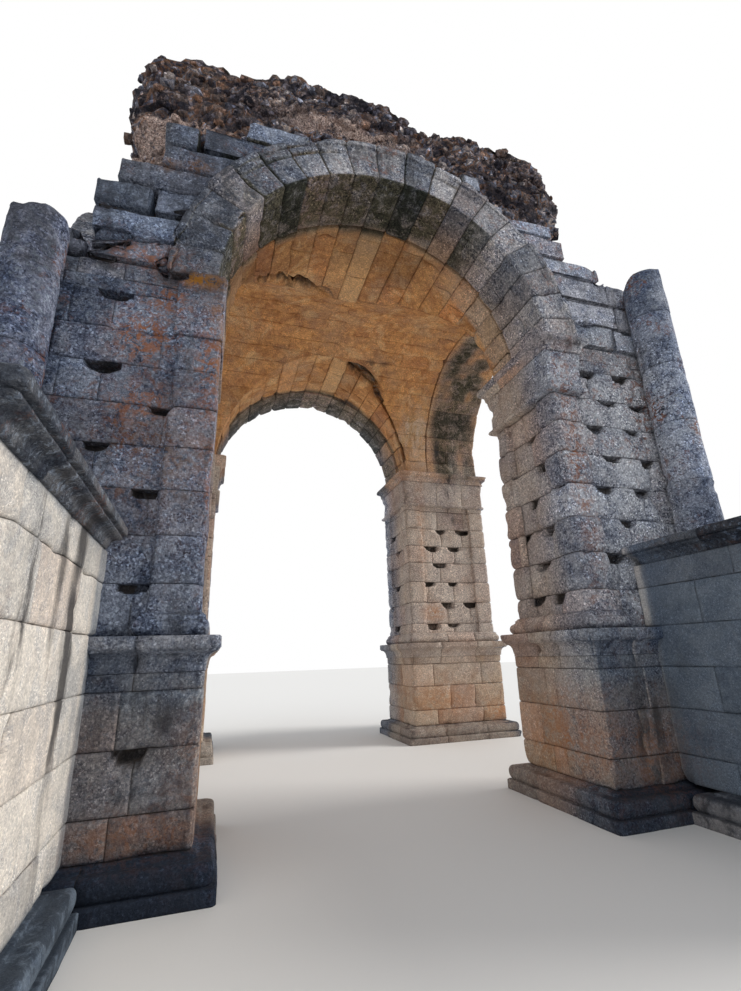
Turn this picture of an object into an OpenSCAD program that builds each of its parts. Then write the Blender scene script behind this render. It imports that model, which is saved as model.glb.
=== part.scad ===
// Ruined Roman four-way arch of granite ashlar with a rubble core, in millimetres.
// X runs across the front, Y runs from front to rear, Z is up, the ground is z = 0.
// The origin is the middle of the whole plan, pedestals included.

/* [Plan] */
// Clear width of the main passage, between pier shafts
passage_w = 4080; // [3600:10:4600]
// Clear width of the side passage, between pier shafts
side_w = 3800; // [3300:10:4200]
// Width of the body across the front, over the pier shafts
body_w = 8080; // [7900:10:8800]
// Depth of the body from front to rear, over the pier shafts
body_d = 6760; // [6500:10:7400]

/* [Pier podium] */
// Height of the square plinth under each pier
plinth_h = 110; // [80:5:160]
// Height of the top of the base moulding
base_top = 310; // [270:5:360]
// Height of the top of the podium block, where its cap begins
dado_top = 1600; // [1400:10:1750]
// Height of the top of the podium cap
cap_top = 1890; // [1820:10:2000]
// How far the plinth stands out from the shaft
plinth_out = 250; // [200:5:300]
// How far the podium block stands out from the shaft
dado_out = 60; // [40:5:90]
// How far the podium cap stands out from the shaft
cap_out = 190; // [150:5:230]

/* [Pier shaft] */
// Width of the pilaster faces on the front and rear
pilaster_w = 510; // [400:10:600]
// Width of the pilaster returns along the passage and side faces
return_w = 430; // [300:10:480]
// How deep the wall between pilasters is set back
recess = 50; // [20:5:80]
// Height of the torus at the foot of the pilasters
foot_h = 200; // [150:10:260]
// Height at which the capital zone of the pilasters starts
capital_z = 4900; // [4600:10:5100]
// Height of the underside of the impost
impost_z = 5490; // [5400:10:5550]
// Height of the springing of the main arches, on top of the impost
spring_z = 5700; // [5640:10:5850]
// How far the impost stands out from the shaft
impost_out = 150; // [110:5:180]

/* [Arches and vault] */
// How far the arches spring behind the pier faces
setback = 60; // [30:5:90]
// Depth of the voussoir ring of the main arches
ring_t = 610; // [540:10:660]
// Depth of the voussoir ring of the side arches
side_ring_t = 550; // [480:10:600]
// Height of the straight legs of the side arches above the springing
stilt = 340; // [300:10:420]
// Width of the moulding round the outside of the main arches
hood_w = 150; // [100:10:200]
// How far that moulding stands out from the face
hood_out = 50; // [30:5:80]

/* [Pedestals] */
// Distance from the middle of the passage to the inner face of a pedestal
pedestal_x = 2870; // [2820:10:2950]
// Height of the underside of the pedestal cornice
pedestal_top = 2610; // [2450:10:2700]
// Height of the pedestal cornice
cornice_h = 224; // [180:2:260]
// How far the pedestal cornice stands out
cornice_out = 146; // [110:2:170]
// How far the front pedestals stand forward of the shafts
front_pedestal_l = 2490; // [2000:10:2800]
// How far the rear pedestals stand back from the shafts
rear_pedestal_l = 1020; // [900:10:1400]

/* [Columns] */
// Radius of the engaged columns
column_r = 300; // [260:5:330]
// Distance of each column's axis from the side of the body, inwards
column_in = 220; // [180:5:300]
// Distance of each column's axis from the shaft face, outwards
column_out = 170; // [130:5:200]
// Height of the broken top of the front left column
column_top_fl = 5870; // [5000:10:6200]
// Height of the broken top of the front right column
column_top_fr = 6960; // [6200:10:7200]
// Height of the broken top of the rear left column
column_top_rl = 6420; // [5500:10:6600]
// Height of the broken top of the rear right column
column_top_rr = 6180; // [5500:10:6400]

/* [Rubble core] */
// Height of the core's highest point over the crown of the vault
core_h = 1330; // [1000:10:1600]
// How far the core is set back behind the front and rear faces
core_back = 230; // [180:10:320]
// How far the wall over the side arches has lost its facing near the piers
face_loss = 450; // [350:10:600]

/* [Hidden] */
$fn = 96;

// Half sizes of the body and of its two passages
half_w = body_w / 2;
half_d = body_d / 2;
half_passage = passage_w / 2;
half_side = side_w / 2;
// Plan sizes of one pier shaft
pier_w = half_w - half_passage;
pier_d = half_d - half_side;
// Inner radii, outer radii and centre heights of the arches
main_r = half_passage + setback;
main_ro = main_r + ring_t;
side_r = half_side + setback;
side_ro = side_r + side_ring_t;
side_z = spring_z + stilt;
vault_top = side_z + side_ro;
// The podium's moulding stands this far out from the pedestal's own block
pedestal_base_out = plinth_out - dado_out;
cornice_top = pedestal_top + cornice_h;
core_top = vault_top + core_h;
// The body's middle lies behind the origin, because the front pedestals are longer
arch_y = (front_pedestal_l - rear_pedestal_l) / 2;
// Lead of cutting shapes past the solid they cut
lead = 20;
// Lead of shapes that cut off a whole moulding
reach = 500;

// Broken tops of the masonry beside the main arches. Each step is [distance from the
// middle as a part of half the width, height above the springing as a part of the
// outer radius of the main arch], from the outer corner to the crown.
FRONT_LEFT_STEPS = [[0.902, 0.14], [0.871, 0.225], [0.827, 0.42], [0.723, 0.555],
    [0.495, 0.82], [0.27, 0.97], [0.104, 1.018]];
FRONT_RIGHT_STEPS = [[0.906, 0.45], [0.819, 0.50], [0.68, 0.557], [0.638, 0.685],
    [0.47, 0.78], [0.36, 0.89], [0.154, 1.012]];
REAR_LEFT_STEPS = [[0.91, 0.33], [0.80, 0.44], [0.69, 0.60], [0.50, 0.80],
    [0.30, 0.95], [0.12, 1.015]];
REAR_RIGHT_STEPS = [[0.90, 0.24], [0.82, 0.38], [0.70, 0.56], [0.52, 0.76],
    [0.34, 0.93], [0.14, 1.02]];
// Broken tops over the side arches, as parts of the side arch's outer radius
SIDE_STEPS = [[0.86, 0.66], [0.62, 0.90], [0.34, 1.03], [0.12, 1.10]];
// Nearer to the piers than this part of that radius the facing is lost
FACED = 0.62;

// Outline of the core seen from the front: [x as a part of half the width, height
// as a part of the way from the springing to the core's top]
CORE_FRONT = [[-0.79, 0.10], [-0.80, 0.42], [-0.845, 0.55], [-0.858, 0.73],
    [-0.843, 0.84], [-0.75, 0.90], [-0.635, 0.935], [-0.52, 0.92], [-0.357, 0.955],
    [-0.185, 0.995], [0.02, 0.99], [0.11, 0.935], [0.198, 0.90], [0.362, 0.925],
    [0.537, 0.965], [0.64, 0.925], [0.727, 0.88], [0.787, 0.712], [0.73, 0.535],
    [0.70, 0.10]];
// The same seen from the side: [y as a part of half the core's depth, height]
CORE_SIDE = [[-1, 0.10], [-1, 0.70], [-0.97, 0.725], [-0.965, 0.975], [-0.93, 1],
    [-0.55, 0.985], [-0.2, 0.94], [0.15, 0.95], [0.5, 0.90], [0.82, 0.88],
    [0.94, 0.80], [1, 0.62], [0.98, 0.10]];
// Hollows in the core's top: [x as a part of half the width, y as a part of half the
// core's depth, radius and depth as parts of the core's height over the vault]
CORE_HOLLOWS = [[0.24, -0.33, 0.72, 0.36], [-0.44, -0.30, 0.62, 0.26],
    [-0.46, 0.44, 0.82, 0.34], [0.46, 0.48, 0.85, 0.42], [0.0, 0.60, 0.60, 0.24]];

// Profiles as [stand-out, height] from the foot to the top of a moulding
function base_profile(out, foot) = [[out, 0], [out, plinth_h],
    [out - 22, plinth_h], for (a = [-80:20:80]) torus_point(out - 62, a),
    [foot + 30, base_top - 40], [foot + 30, base_top - 22], [foot, base_top]];
// Half-round of the base moulding, between the plinth and the fillet over it
function torus_point(out, a) = let (r = (base_top - 40 - plinth_h) / 2)
    [out + 40 * cos(a), plinth_h + r + r * sin(a)];
function cap_profile(foot, out, z0, z1) = let (h = z1 - z0)
    [[foot, z0], [foot + 20, z0], [foot + 20, z0 + 0.12 * h],
    for (a = [0:15:90]) [foot + 24 + (out - foot - 50) * (1 - cos(a)),
        z0 + (0.16 + 0.40 * sin(a)) * h],
    [out - 16, z0 + 0.60 * h], [out, z0 + 0.64 * h], [out, z1]];
// Stepped outline as points, each step level from its start to the next one's
function step_points(steps, rx, rz, z0) = [for (i = [0:len(steps) - 1])
    each [[(i == 0 ? 1 : steps[i - 1][0]) * rx, z0 + steps[i][1] * rz],
        [steps[i][0] * rx, z0 + steps[i][1] * rz]]];

// Places what is drawn at the rear right pier at one of the four piers
module at_pier(sx, sy) {
    translate([0, arch_y, 0])
        mirror([sx < 0 ? 1 : 0, 0, 0])
            mirror([0, sy < 0 ? 1 : 0, 0])
                children();
}

// Box between two corners
module box(a, b) {
    translate(a) cube([b[0] - a[0], b[1] - a[1], b[2] - a[2]]);
}

// Block over a rectangle in plan whose four sides follow one moulding profile
module moulded(x0, x1, y0, y1, profile) {
    intersection() {
        translate([0, y1 + reach, 0]) rotate([90, 0, 0])
            linear_extrude(y1 - y0 + 2 * reach)
                polygon(concat([for (p = profile) [x1 + p[0], p[1]]],
                    [for (i = [len(profile) - 1:-1:0]) [x0 - profile[i][0], profile[i][1]]]));
        translate([x0 - reach, 0, 0]) rotate([90, 0, 90])
            linear_extrude(x1 - x0 + 2 * reach)
                polygon(concat([for (p = profile) [y1 + p[0], p[1]]],
                    [for (i = [len(profile) - 1:-1:0]) [y0 - profile[i][0], profile[i][1]]]));
    }
}

// Moulded base of one pier: square plinth, torus and fillet
module pier_base(sx, sy) {
    color("#8f7d6c") at_pier(sx, sy)
        moulded(half_passage, half_w, half_side, half_d, base_profile(plinth_out, dado_out));
}

// Podium block of one pier
module podium(sx, sy) {
    color("#9a8a76") at_pier(sx, sy)
        box([half_passage - dado_out, half_side - dado_out, base_top],
            [half_w + dado_out, half_d + dado_out, dado_top]);
}

// Moulded cap of one podium, cut where the pedestal runs into it
module podium_cap(sx, sy) {
    color("#a09484") at_pier(sx, sy)
        difference() {
            moulded(half_passage, half_w, half_side, half_d,
                cap_profile(dado_out, cap_out, dado_top, cap_top));
            box([pedestal_x, half_d + dado_out, dado_top - lead],
                [half_w + dado_out, half_d + reach, cap_top + lead]);
        }
}

// Plan of a pier shaft: corner pilasters with the wall set back between them
module shaft_plan() {
    difference() {
        translate([half_passage, half_side]) square([pier_w, pier_d]);
        // Passage face and outer face
        for (x = [half_passage - lead, half_w - recess])
            translate([x, half_side + return_w])
                square([recess + lead, pier_d - 2 * return_w]);
        // Side passage face
        translate([half_passage + return_w, half_side - lead])
            square([pier_w - 2 * return_w, recess + lead]);
        // Front or rear face, plain from the pilaster to the corner behind the column
        translate([half_passage + pilaster_w, half_d - recess])
            square([pier_w - pilaster_w + lead, recess + lead]);
    }
}

// Rectangles in plan that the pilaster mouldings follow: passage side and side passage
module pilaster_mouldings(profile) {
    moulded(half_passage, half_passage + pilaster_w, half_side, half_d, profile);
    moulded(half_passage, half_w, half_side, half_side + return_w, profile);
}

// Shaft of one pier with the feet and the capitals of its pilasters
module pier_shaft(sx, sy) {
    foot = [[60, cap_top], for (a = [-60:30:60])
        [40 + 30 * cos(a), cap_top + foot_h * (0.36 + 0.3 * sin(a))],
        [34, cap_top + 0.72 * foot_h], [34, cap_top + 0.86 * foot_h],
        [0, cap_top + foot_h]];
    capital = [[0, capital_z], for (a = [-90:30:90])
        [25 + 45 * cos(a), capital_z + 60 + 55 * sin(a)],
        [30, capital_z + 160], [45, impost_z - 80], [45, impost_z]];
    color("#a89b8a") at_pier(sx, sy) {
        translate([0, 0, cap_top]) linear_extrude(impost_z - cap_top) shaft_plan();
        pilaster_mouldings(foot);
        pilaster_mouldings(capital);
    }
}

// Impost of one pier: moulded along both passages, plain at the outer corner
module impost(sx, sy) {
    color("#a3937f") at_pier(sx, sy) {
        pilaster_mouldings(cap_profile(45, impost_out, impost_z, spring_z));
        box([half_passage, half_side, impost_z], [half_w, half_d - recess, spring_z]);
    }
}

// Reach of a pedestal's own block in front of or behind the body's middle
function pedestal_end(sy) = half_d + (sy < 0 ? front_pedestal_l : rear_pedestal_l);

// Pedestal block with its moulded foot, built against the pier
module pedestal(sx, sy) {
    outer_x = half_w + dado_out;
    color("#b3a893") at_pier(sx, sy)
        difference() {
            union() {
                box([pedestal_x, half_d, base_top], [outer_x, pedestal_end(sy), pedestal_top]);
                moulded(pedestal_x, outer_x, half_d, pedestal_end(sy),
                    base_profile(pedestal_base_out, 0));
            }
            moulded(half_passage, half_w, half_side, half_d,
                base_profile(plinth_out, dado_out));
            box([pedestal_x - reach, half_side, -lead],
                [outer_x + reach, half_d + dado_out, cap_top]);
            box([pedestal_x - reach, half_side, cap_top - lead],
                [outer_x + reach, half_d - recess, pedestal_top + lead]);
            box([half_passage, half_side, cap_top - lead],
                [half_passage + pilaster_w + 70, half_d + 70, pedestal_top + lead]);
        }
}

// Cornice round the top of a pedestal, cut off at the pier's wall
module pedestal_cornice(sx, sy) {
    color("#6f675c") at_pier(sx, sy)
        difference() {
            moulded(pedestal_x, half_w + dado_out, half_d, pedestal_end(sy),
                cap_profile(0, cornice_out, pedestal_top, cornice_top));
            box([half_passage, half_side - lead, pedestal_top - lead],
                [half_w + reach, half_d - recess, cornice_top + lead]);
        }
}

// Engaged column with a low foot and a broken, sloping top
module column(sx, sy, top) {
    drum_x = half_w - column_in;
    drum_y = half_d + column_out;
    fall = 0.87 * column_r;
    span = 2 * column_r;
    color("#8b95a0") at_pier(sx, sy)
        difference() {
            translate([drum_x, drum_y, cornice_top]) union() {
                cylinder(r = column_r, h = top - cornice_top);
                cylinder(r = column_r + 60, h = 90);
            }
            // The wall that the column is built against, set back below the springing only
            box([drum_x - span, half_side, cornice_top - lead],
                [drum_x + span, half_d - recess, top + lead]);
            box([drum_x - span, half_side, spring_z],
                [drum_x + span, half_d, spring_z + top]);
            // Slope of the broken top, down towards the wall
            translate([drum_x - span, drum_y - column_r, top - fall])
                rotate([atan(fall / column_r / 1.4), 0, 0])
                    cube([2 * span, 2 * span, 3 * span]);
        }
}

// Upper half of a disc standing in the X-Z plane, with straight legs below it
module arch_disc(r, legs) {
    intersection() {
        circle(r);
        translate([-r, 0]) square([2 * r, r]);
    }
    if (legs > 0)
        translate([-r, -legs]) square([2 * r, legs]);
}

// Extrudes an outline drawn in X and Z from one depth to another
module across(y0, y1) {
    translate([0, y1, 0]) rotate([90, 0, 0]) linear_extrude(y1 - y0) children();
}

// Extrudes an outline drawn in Y and Z from one width to another
module along(x0, x1) {
    translate([x0, 0, 0]) rotate([90, 0, 90]) linear_extrude(x1 - x0) children();
}

// Voussoir ring of a main arch with the moulding round its outer edge
module main_arch(sy) {
    color("#9c9384") at_pier(1, sy) {
        across(side_ro, half_d) translate([0, spring_z]) difference() {
            arch_disc(main_ro, 0);
            circle(main_r);
        }
        across(half_d, half_d + hood_out) translate([0, spring_z]) difference() {
            arch_disc(main_ro, 0);
            circle(main_ro - hood_w);
        }
        across(half_d, half_d + hood_out / 2) translate([0, spring_z]) difference() {
            arch_disc(main_ro - hood_w, 0);
            circle(main_ro - 1.6 * hood_w);
        }
    }
}

// Voussoir ring of a side arch, on straight legs
module side_arch(sx) {
    color("#9a8668") at_pier(sx, 1)
        along(main_ro, half_w) translate([0, side_z]) difference() {
            arch_disc(side_ro, stilt);
            arch_disc(side_r, stilt);
            translate([-side_r, -stilt - lead]) square([2 * side_r, 2 * lead]);
        }
}

// Middle of the vault: two barrels of unequal height crossing in a groin
module groin_vault() {
    color("#b0763f") translate([0, arch_y, 0])
        difference() {
            box([-main_ro, -side_ro, spring_z], [main_ro, side_ro, vault_top]);
            across(-half_d, half_d) translate([0, spring_z]) {
                circle(main_r);
            }
            along(-half_w, half_w) translate([0, side_z]) {
                arch_disc(side_r, stilt + lead);
            }
        }
}

// Outline beside and over a main arch up to its broken steps, in X and Z
module main_steps(steps) {
    last = steps[len(steps) - 1];
    polygon(concat([[half_w, spring_z]], step_points(steps, half_w, main_ro, spring_z),
        [[last[0] * half_w, spring_z]]));
}

// Outline over one half of a side arch up to its broken steps, in Y and Z
module side_steps() {
    last = SIDE_STEPS[len(SIDE_STEPS) - 1];
    polygon(concat([[side_ro, spring_z]],
        step_points(SIDE_STEPS, side_ro, side_ro, side_z),
        [[last[0] * side_ro, spring_z]]));
}

// Stepped ashlar beside the arches over one pier
module haunch(sx, sy, steps) {
    color("#8d8f90") at_pier(sx, sy) {
        across(side_ro, half_d) difference() {
            main_steps(steps);
            translate([0, spring_z]) circle(main_ro);
        }
        along(main_ro, half_w - face_loss) difference() {
            side_steps();
            translate([0, side_z]) arch_disc(side_ro, stilt);
        }
        along(main_ro, half_w) difference() {
            intersection() {
                side_steps();
                square([FACED * side_ro, core_top]);
            }
            translate([0, side_z]) arch_disc(side_ro, stilt);
        }
    }
}

// Hollow that widens upwards, cut into the core's top
module hollow(h, depth, rise) {
    r = h[2] * core_h;
    floor_z = spring_z + 0.95 * rise - h[3] * core_h;
    translate([h[0] * half_w, h[1] * depth, floor_z])
        cylinder(h = core_h, r1 = 0.4 * r, r2 = 0.4 * r + 0.6 * r * core_h / (h[3] * core_h),
            $fn = 6);
}

// Mass of rubble and mortar over the vault, standing on the broken ashlar
module rubble_core() {
    rise = core_top - spring_z;
    depth = half_d - core_back;
    color("#5b473d") translate([0, arch_y, 0])
        difference() {
            intersection() {
                across(-half_d, half_d)
                    polygon([for (p = CORE_FRONT) [p[0] * half_w, spring_z + p[1] * rise]]);
                along(-half_w, half_w)
                    polygon([for (p = CORE_SIDE) [p[0] * depth, spring_z + p[1] * rise]]);
            }
            box([-main_ro, -side_ro, 0], [main_ro, side_ro, vault_top]);
            for (h = CORE_HOLLOWS) hollow(h, depth, rise);
            for (s = [-1, 1]) {
                mirror([0, s < 0 ? 0 : 1, 0]) across(-half_d, -side_ro) {
                    translate([0, spring_z]) circle(main_ro);
                    main_steps(s < 0 ? FRONT_RIGHT_STEPS : REAR_RIGHT_STEPS);
                    mirror([1, 0]) main_steps(s < 0 ? FRONT_LEFT_STEPS : REAR_LEFT_STEPS);
                }
                mirror([s < 0 ? 1 : 0, 0, 0]) along(main_ro, half_w) {
                    translate([0, side_z]) arch_disc(side_ro, stilt);
                    side_steps();
                    mirror([1, 0]) side_steps();
                }
            }
        }
}

pier_base(-1, -1);  // front_left_base
pier_base(1, -1);  // front_right_base
pier_base(-1, 1);  // rear_left_base
pier_base(1, 1);  // rear_right_base
podium(-1, -1);  // front_left_podium
podium(1, -1);  // front_right_podium
podium(-1, 1);  // rear_left_podium
podium(1, 1);  // rear_right_podium
podium_cap(-1, -1);  // front_left_podium_cap
podium_cap(1, -1);  // front_right_podium_cap
podium_cap(-1, 1);  // rear_left_podium_cap
podium_cap(1, 1);  // rear_right_podium_cap
pier_shaft(-1, -1);  // front_left_shaft
pier_shaft(1, -1);  // front_right_shaft
pier_shaft(-1, 1);  // rear_left_shaft
pier_shaft(1, 1);  // rear_right_shaft
impost(-1, -1);  // front_left_impost
impost(1, -1);  // front_right_impost
impost(-1, 1);  // rear_left_impost
impost(1, 1);  // rear_right_impost
pedestal(-1, -1);  // front_left_pedestal
pedestal(1, -1);  // front_right_pedestal
pedestal(-1, 1);  // rear_left_pedestal
pedestal(1, 1);  // rear_right_pedestal
pedestal_cornice(-1, -1);  // front_left_pedestal_cornice
pedestal_cornice(1, -1);  // front_right_pedestal_cornice
pedestal_cornice(-1, 1);  // rear_left_pedestal_cornice
pedestal_cornice(1, 1);  // rear_right_pedestal_cornice
column(-1, -1, column_top_fl);  // front_left_column
column(1, -1, column_top_fr);  // front_right_column
column(-1, 1, column_top_rl);  // rear_left_column
column(1, 1, column_top_rr);  // rear_right_column
main_arch(-1);  // front_arch
main_arch(1);  // rear_arch
side_arch(-1);  // left_arch
side_arch(1);  // right_arch
groin_vault();
haunch(-1, -1, FRONT_LEFT_STEPS);  // front_left_haunch
haunch(1, -1, FRONT_RIGHT_STEPS);  // front_right_haunch
haunch(-1, 1, REAR_LEFT_STEPS);  // rear_left_haunch
haunch(1, 1, REAR_RIGHT_STEPS);  // rear_right_haunch
rubble_core();
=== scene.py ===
"""Looks of a ruined four-way arch of granite ashlar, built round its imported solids.

Every node of the arch gets stonework of its own: courses of worn blocks with open
joints and robbed clamp holes, eroded mouldings, wedge stones, vault courses and a
knobbly rubble core. All sizes are in metres, X across the front, Y from front to
rear, Z up, with the origin in the middle of the whole plan at ground level.
"""
import logging
import math
from collections.abc import Callable, Sequence
from dataclasses import dataclass, field, replace
from enum import Enum

import bpy
import numpy as np
from mathutils import Matrix, Vector


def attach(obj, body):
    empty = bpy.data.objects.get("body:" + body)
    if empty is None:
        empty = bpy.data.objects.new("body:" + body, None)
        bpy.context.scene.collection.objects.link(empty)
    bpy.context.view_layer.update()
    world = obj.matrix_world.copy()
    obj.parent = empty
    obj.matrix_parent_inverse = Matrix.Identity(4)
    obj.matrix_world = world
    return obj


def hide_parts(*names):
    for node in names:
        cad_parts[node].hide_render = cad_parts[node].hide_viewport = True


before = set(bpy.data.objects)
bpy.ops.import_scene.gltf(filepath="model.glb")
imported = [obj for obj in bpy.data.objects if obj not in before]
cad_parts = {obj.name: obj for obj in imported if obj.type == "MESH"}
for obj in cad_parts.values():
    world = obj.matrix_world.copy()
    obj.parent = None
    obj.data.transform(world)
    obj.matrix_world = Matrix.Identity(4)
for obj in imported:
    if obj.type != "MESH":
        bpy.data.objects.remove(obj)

Array = np.ndarray
Place = Callable[[Array], Array]
Pairs = Sequence[tuple[float, float]]
Colour = tuple[float, float, float]
LOG = logging.getLogger("arch")
PICTURE = (741, 991)
CORNERS = np.array([(i, j, k) for i in (0, 1) for j in (0, 1) for k in (0, 1)])
AROUND = np.array([(i, j, k) for i in (-1, 0, 1) for j in (-1, 0, 1) for k in (-1, 0, 1)])


# Noise worked out on whole arrays of points


def scatter(cell: Array, seed: int) -> Array:
    """Random numbers from 0 to 1, one for each cell of whole numbers.

    The cell's three numbers are multiplied by large odd numbers and added, and the
    bits of the sum are folded together twice.

    Args:
        cell: whole numbers, shape (..., 3).
        seed: picks another set of random numbers.

    Returns:
        Random numbers, shape (...).
    """
    n = (cell[..., 0] * 374761393 + cell[..., 1] * 668265263
         + cell[..., 2] * 974634777 + seed * 144269) & 0xFFFFFFFF
    n = ((n ^ (n >> 13)) * 1274126177) & 0xFFFFFFFF
    return (n ^ (n >> 16)) / 0xFFFFFFFF


def waves(points: Array, size: float, seed: int, octaves: int = 1) -> Array:
    """Smooth noise from -1 to 1.

    Each point takes the random numbers of the eight corners of its cell, weighed by
    a smooth step across the cell. Each octave halves the cell and the weight.

    Args:
        points: places, shape (..., 3).
        size: width of the widest waves.
        seed: picks another noise.
        octaves: number of sizes that are added.

    Returns:
        Noise, shape (...).
    """
    total, gain, reach = 0.0, 1.0, 0.0
    for octave in range(octaves):
        place = points / size
        cell = np.floor(place)
        part = place - cell
        part = part * part * (3 - 2 * part)
        cell = cell.astype(np.int64)
        for corner in CORNERS:
            weight = np.prod(np.where(corner == 1, part, 1 - part), axis=-1)
            total = total + gain * weight * (2 * scatter(cell + corner, seed + octave) - 1)
        reach += gain
        gain, size = gain / 2, size / 2
    return total / reach


def pebbles(points: Array, size: float, seed: int) -> tuple[Array, Array, Array]:
    """Distances to the nearest two of points scattered one to a cell.

    Args:
        points: places, shape (N, 3).
        size: mean spacing of the scattered points.
        seed: picks another scatter.

    Returns:
        Distance to the nearest, the gap to the second nearest, both as parts of the
        spacing, and a random number that is the same round each scattered point.
    """
    place = points / size
    cell = np.floor(place).astype(np.int64)
    near = np.full(len(points), 9.0)
    second = np.full(len(points), 9.0)
    tone = np.zeros(len(points))
    for step in AROUND:
        other = cell + step
        centre = other + 0.5 + 0.8 * (np.stack(
            [scatter(other, seed + axis) for axis in range(3)], -1) - 0.5)
        distance = np.linalg.norm(place - centre, axis=-1)
        closer = distance < near
        second = np.where(closer, near, np.minimum(second, distance))
        tone = np.where(closer, scatter(other, seed + 7), tone)
        near = np.where(closer, distance, near)
    return near, second - near, tone


def ramp(value: Array, low: float, high: float) -> Array:
    """Smooth step from 0 at low to 1 at high; low may be the larger of the two."""
    part = np.clip((value - low) / (high - low), 0, 1)
    return part * part * (3 - 2 * part)


# Sizes of the arch, as its solids have them


@dataclass(frozen=True)
class Body:
    """Plan and heights that the whole arch shares, measured from its middle.

    Args:
        passage: half the clear width of the main passage.
        side: half the clear width of the side passage.
        half_w: half the width across the front.
        half_d: half the depth.
        mid_y: distance of the body's middle behind the origin.
        recess: how far the walls stand back from the pilasters.
        podium: how far the podium and the pedestal stand out from the shaft.
        base_top: top of the bases.
        dado_top: top of the podium's plain courses.
        cap_top: top of the podium's cap.
        pedestal_top: top of the pedestal's plain courses.
        cornice_top: top of the pedestal's cornice, that the column stands on.
        capital_z: foot of the pilasters' capitals.
        impost_z: foot of the impost.
        spring_z: springing of the main arch, on the impost.
        side_z: height of the side arch's centre, over its straight legs.
        main_r: inner radius of the main arch.
        main_ro: outer radius of the main arch.
        side_r: inner radius of the side arch.
        side_ro: outer radius of the side arch.
        core_top: height that the rubble core's outlines are parts of.
    """
    passage: float = 2.04
    side: float = 1.90
    half_w: float = 4.04
    half_d: float = 3.38
    mid_y: float = 0.735
    recess: float = 0.05
    podium: float = 0.06
    base_top: float = 0.31
    dado_top: float = 1.60
    cap_top: float = 1.89
    pedestal_top: float = 2.61
    cornice_top: float = 2.834
    capital_z: float = 4.90
    impost_z: float = 5.49
    spring_z: float = 5.70
    side_z: float = 6.04
    main_r: float = 2.10
    main_ro: float = 2.71
    side_r: float = 1.96
    side_ro: float = 2.51
    core_top: float = 9.88


BODY = Body()
MIDDLE = np.array([0.0, BODY.mid_y, 0.0])


class Quarter(Enum):
    """Quarter of the plan that a pier stands in, as the signs of X and Y."""
    FRONT_LEFT = (-1, -1)
    FRONT_RIGHT = (1, -1)
    REAR_LEFT = (-1, 1)
    REAR_RIGHT = (1, 1)

    @property
    def label(self) -> str:
        """Name as the nodes have it."""
        return self.name.lower()

    @property
    def seed(self) -> int:
        """Number that keeps each pier's random stones its own."""
        return 100 * (self.value[0] + 2) + 1000 * (self.value[1] + 2)

    def place(self, local: Array) -> Array:
        """Points drawn at the rear right pier, mirrored to this one."""
        sx, sy = self.value
        return local * np.array([sx, sy, 1.0]) + MIDDLE


class Way(Enum):
    """Passage that an arch or a barrel spans.

    Args:
        radius: inner radius of its arches.
        outer: outer radius of its arches.
        spring: height of their centre.
        reach: distance of their faces from the body's middle.
    """
    MAIN = (BODY.main_r, BODY.main_ro, BODY.spring_z, BODY.half_d)
    CROSS = (BODY.side_r, BODY.side_ro, BODY.side_z, BODY.half_w)

    def __init__(self, radius: float, outer: float, spring: float, reach: float) -> None:
        """Names the four sizes."""
        self.radius, self.outer, self.spring, self.reach = radius, outer, spring, reach

    @property
    def other(self) -> "Way":
        """The passage that crosses this one."""
        return Way.CROSS if self is Way.MAIN else Way.MAIN

    def back(self, height: float) -> float:
        """Distance of the arch's back from its middle, at a height."""
        return math.sqrt(max(0.0, self.outer**2 - max(0, height - self.spring) ** 2))

    def bend(self, along: Array, out: Array, angle: Array) -> Array:
        """Places on a barrel: its radius turned by an angle round the centre.

        Args:
            along: distance along the passage from the body's middle.
            out: distance from the centre.
            angle: angle over the springing.

        Returns:
            Places in the arch, shape (..., 3).
        """
        across, height = out * np.cos(angle), self.spring + out * np.sin(angle)
        plan = (across, along + BODY.mid_y) if self is Way.MAIN else (along, across + BODY.mid_y)
        return np.stack([*plan, height], -1)


@dataclass(frozen=True)
class Notch:
    """Hole where a clamp was robbed from the joint of two stones.

    Args:
        at: point in plan on the wall's face, in the middle of the hole.
        width: width along the bed.
        height: height under the bed.
        depth: depth into the wall.
        lean: sideways drift of the hole's foot.
    """
    at: tuple[float, float]
    width: float = 0.27
    height: float = 0.11
    depth: float = 0.16
    lean: float = 0.0


@dataclass(frozen=True)
class Wear:
    """How far weather has eaten into a stone, all in metres.

    Args:
        joint: depth of an open joint.
        open: width over which a joint's edges are rounded off.
        edge: radius of a worn corner.
        waves: depth of broad hollows.
        rough: depth of small pits.
        chips: depth of broken edges.
        step: how far one stone's face may stand behind the next.
        thread: how dark the joints are.
        vary: how much one stone's colour differs from the next.
    """
    joint: float = 0.016
    open: float = 0.006
    edge: float = 0.032
    waves: float = 0.020
    rough: float = 0.011
    chips: float = 0.045
    step: float = 0.009
    thread: float = 1.0
    vary: float = 1.0

    def eat(self, depth: Array, world: Array, rim: Array, pit: float, chip: float, near: float) -> Array:
        """Adds broad hollows, small pits and broken edges to a depth of wear.

        Args:
            depth: the depth so far.
            world: places in the arch.
            rim: distance to the nearest edge or joint.
            pit: width of the pits.
            chip: width of the broken edges.
            near: distance at which the breaks fade.

        Returns:
            The depth at each place.
        """
        depth = depth + self.waves * (0.5 + 0.5 * waves(world, 0.42, 21, 2))
        depth += self.rough * (0.5 + 0.5 * waves(world, pit, 31, 2))
        return depth + self.chips * ramp(waves(world, chip, 41), 0.25, 0.8) * np.exp(-rim / near)


# Closed surfaces


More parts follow.
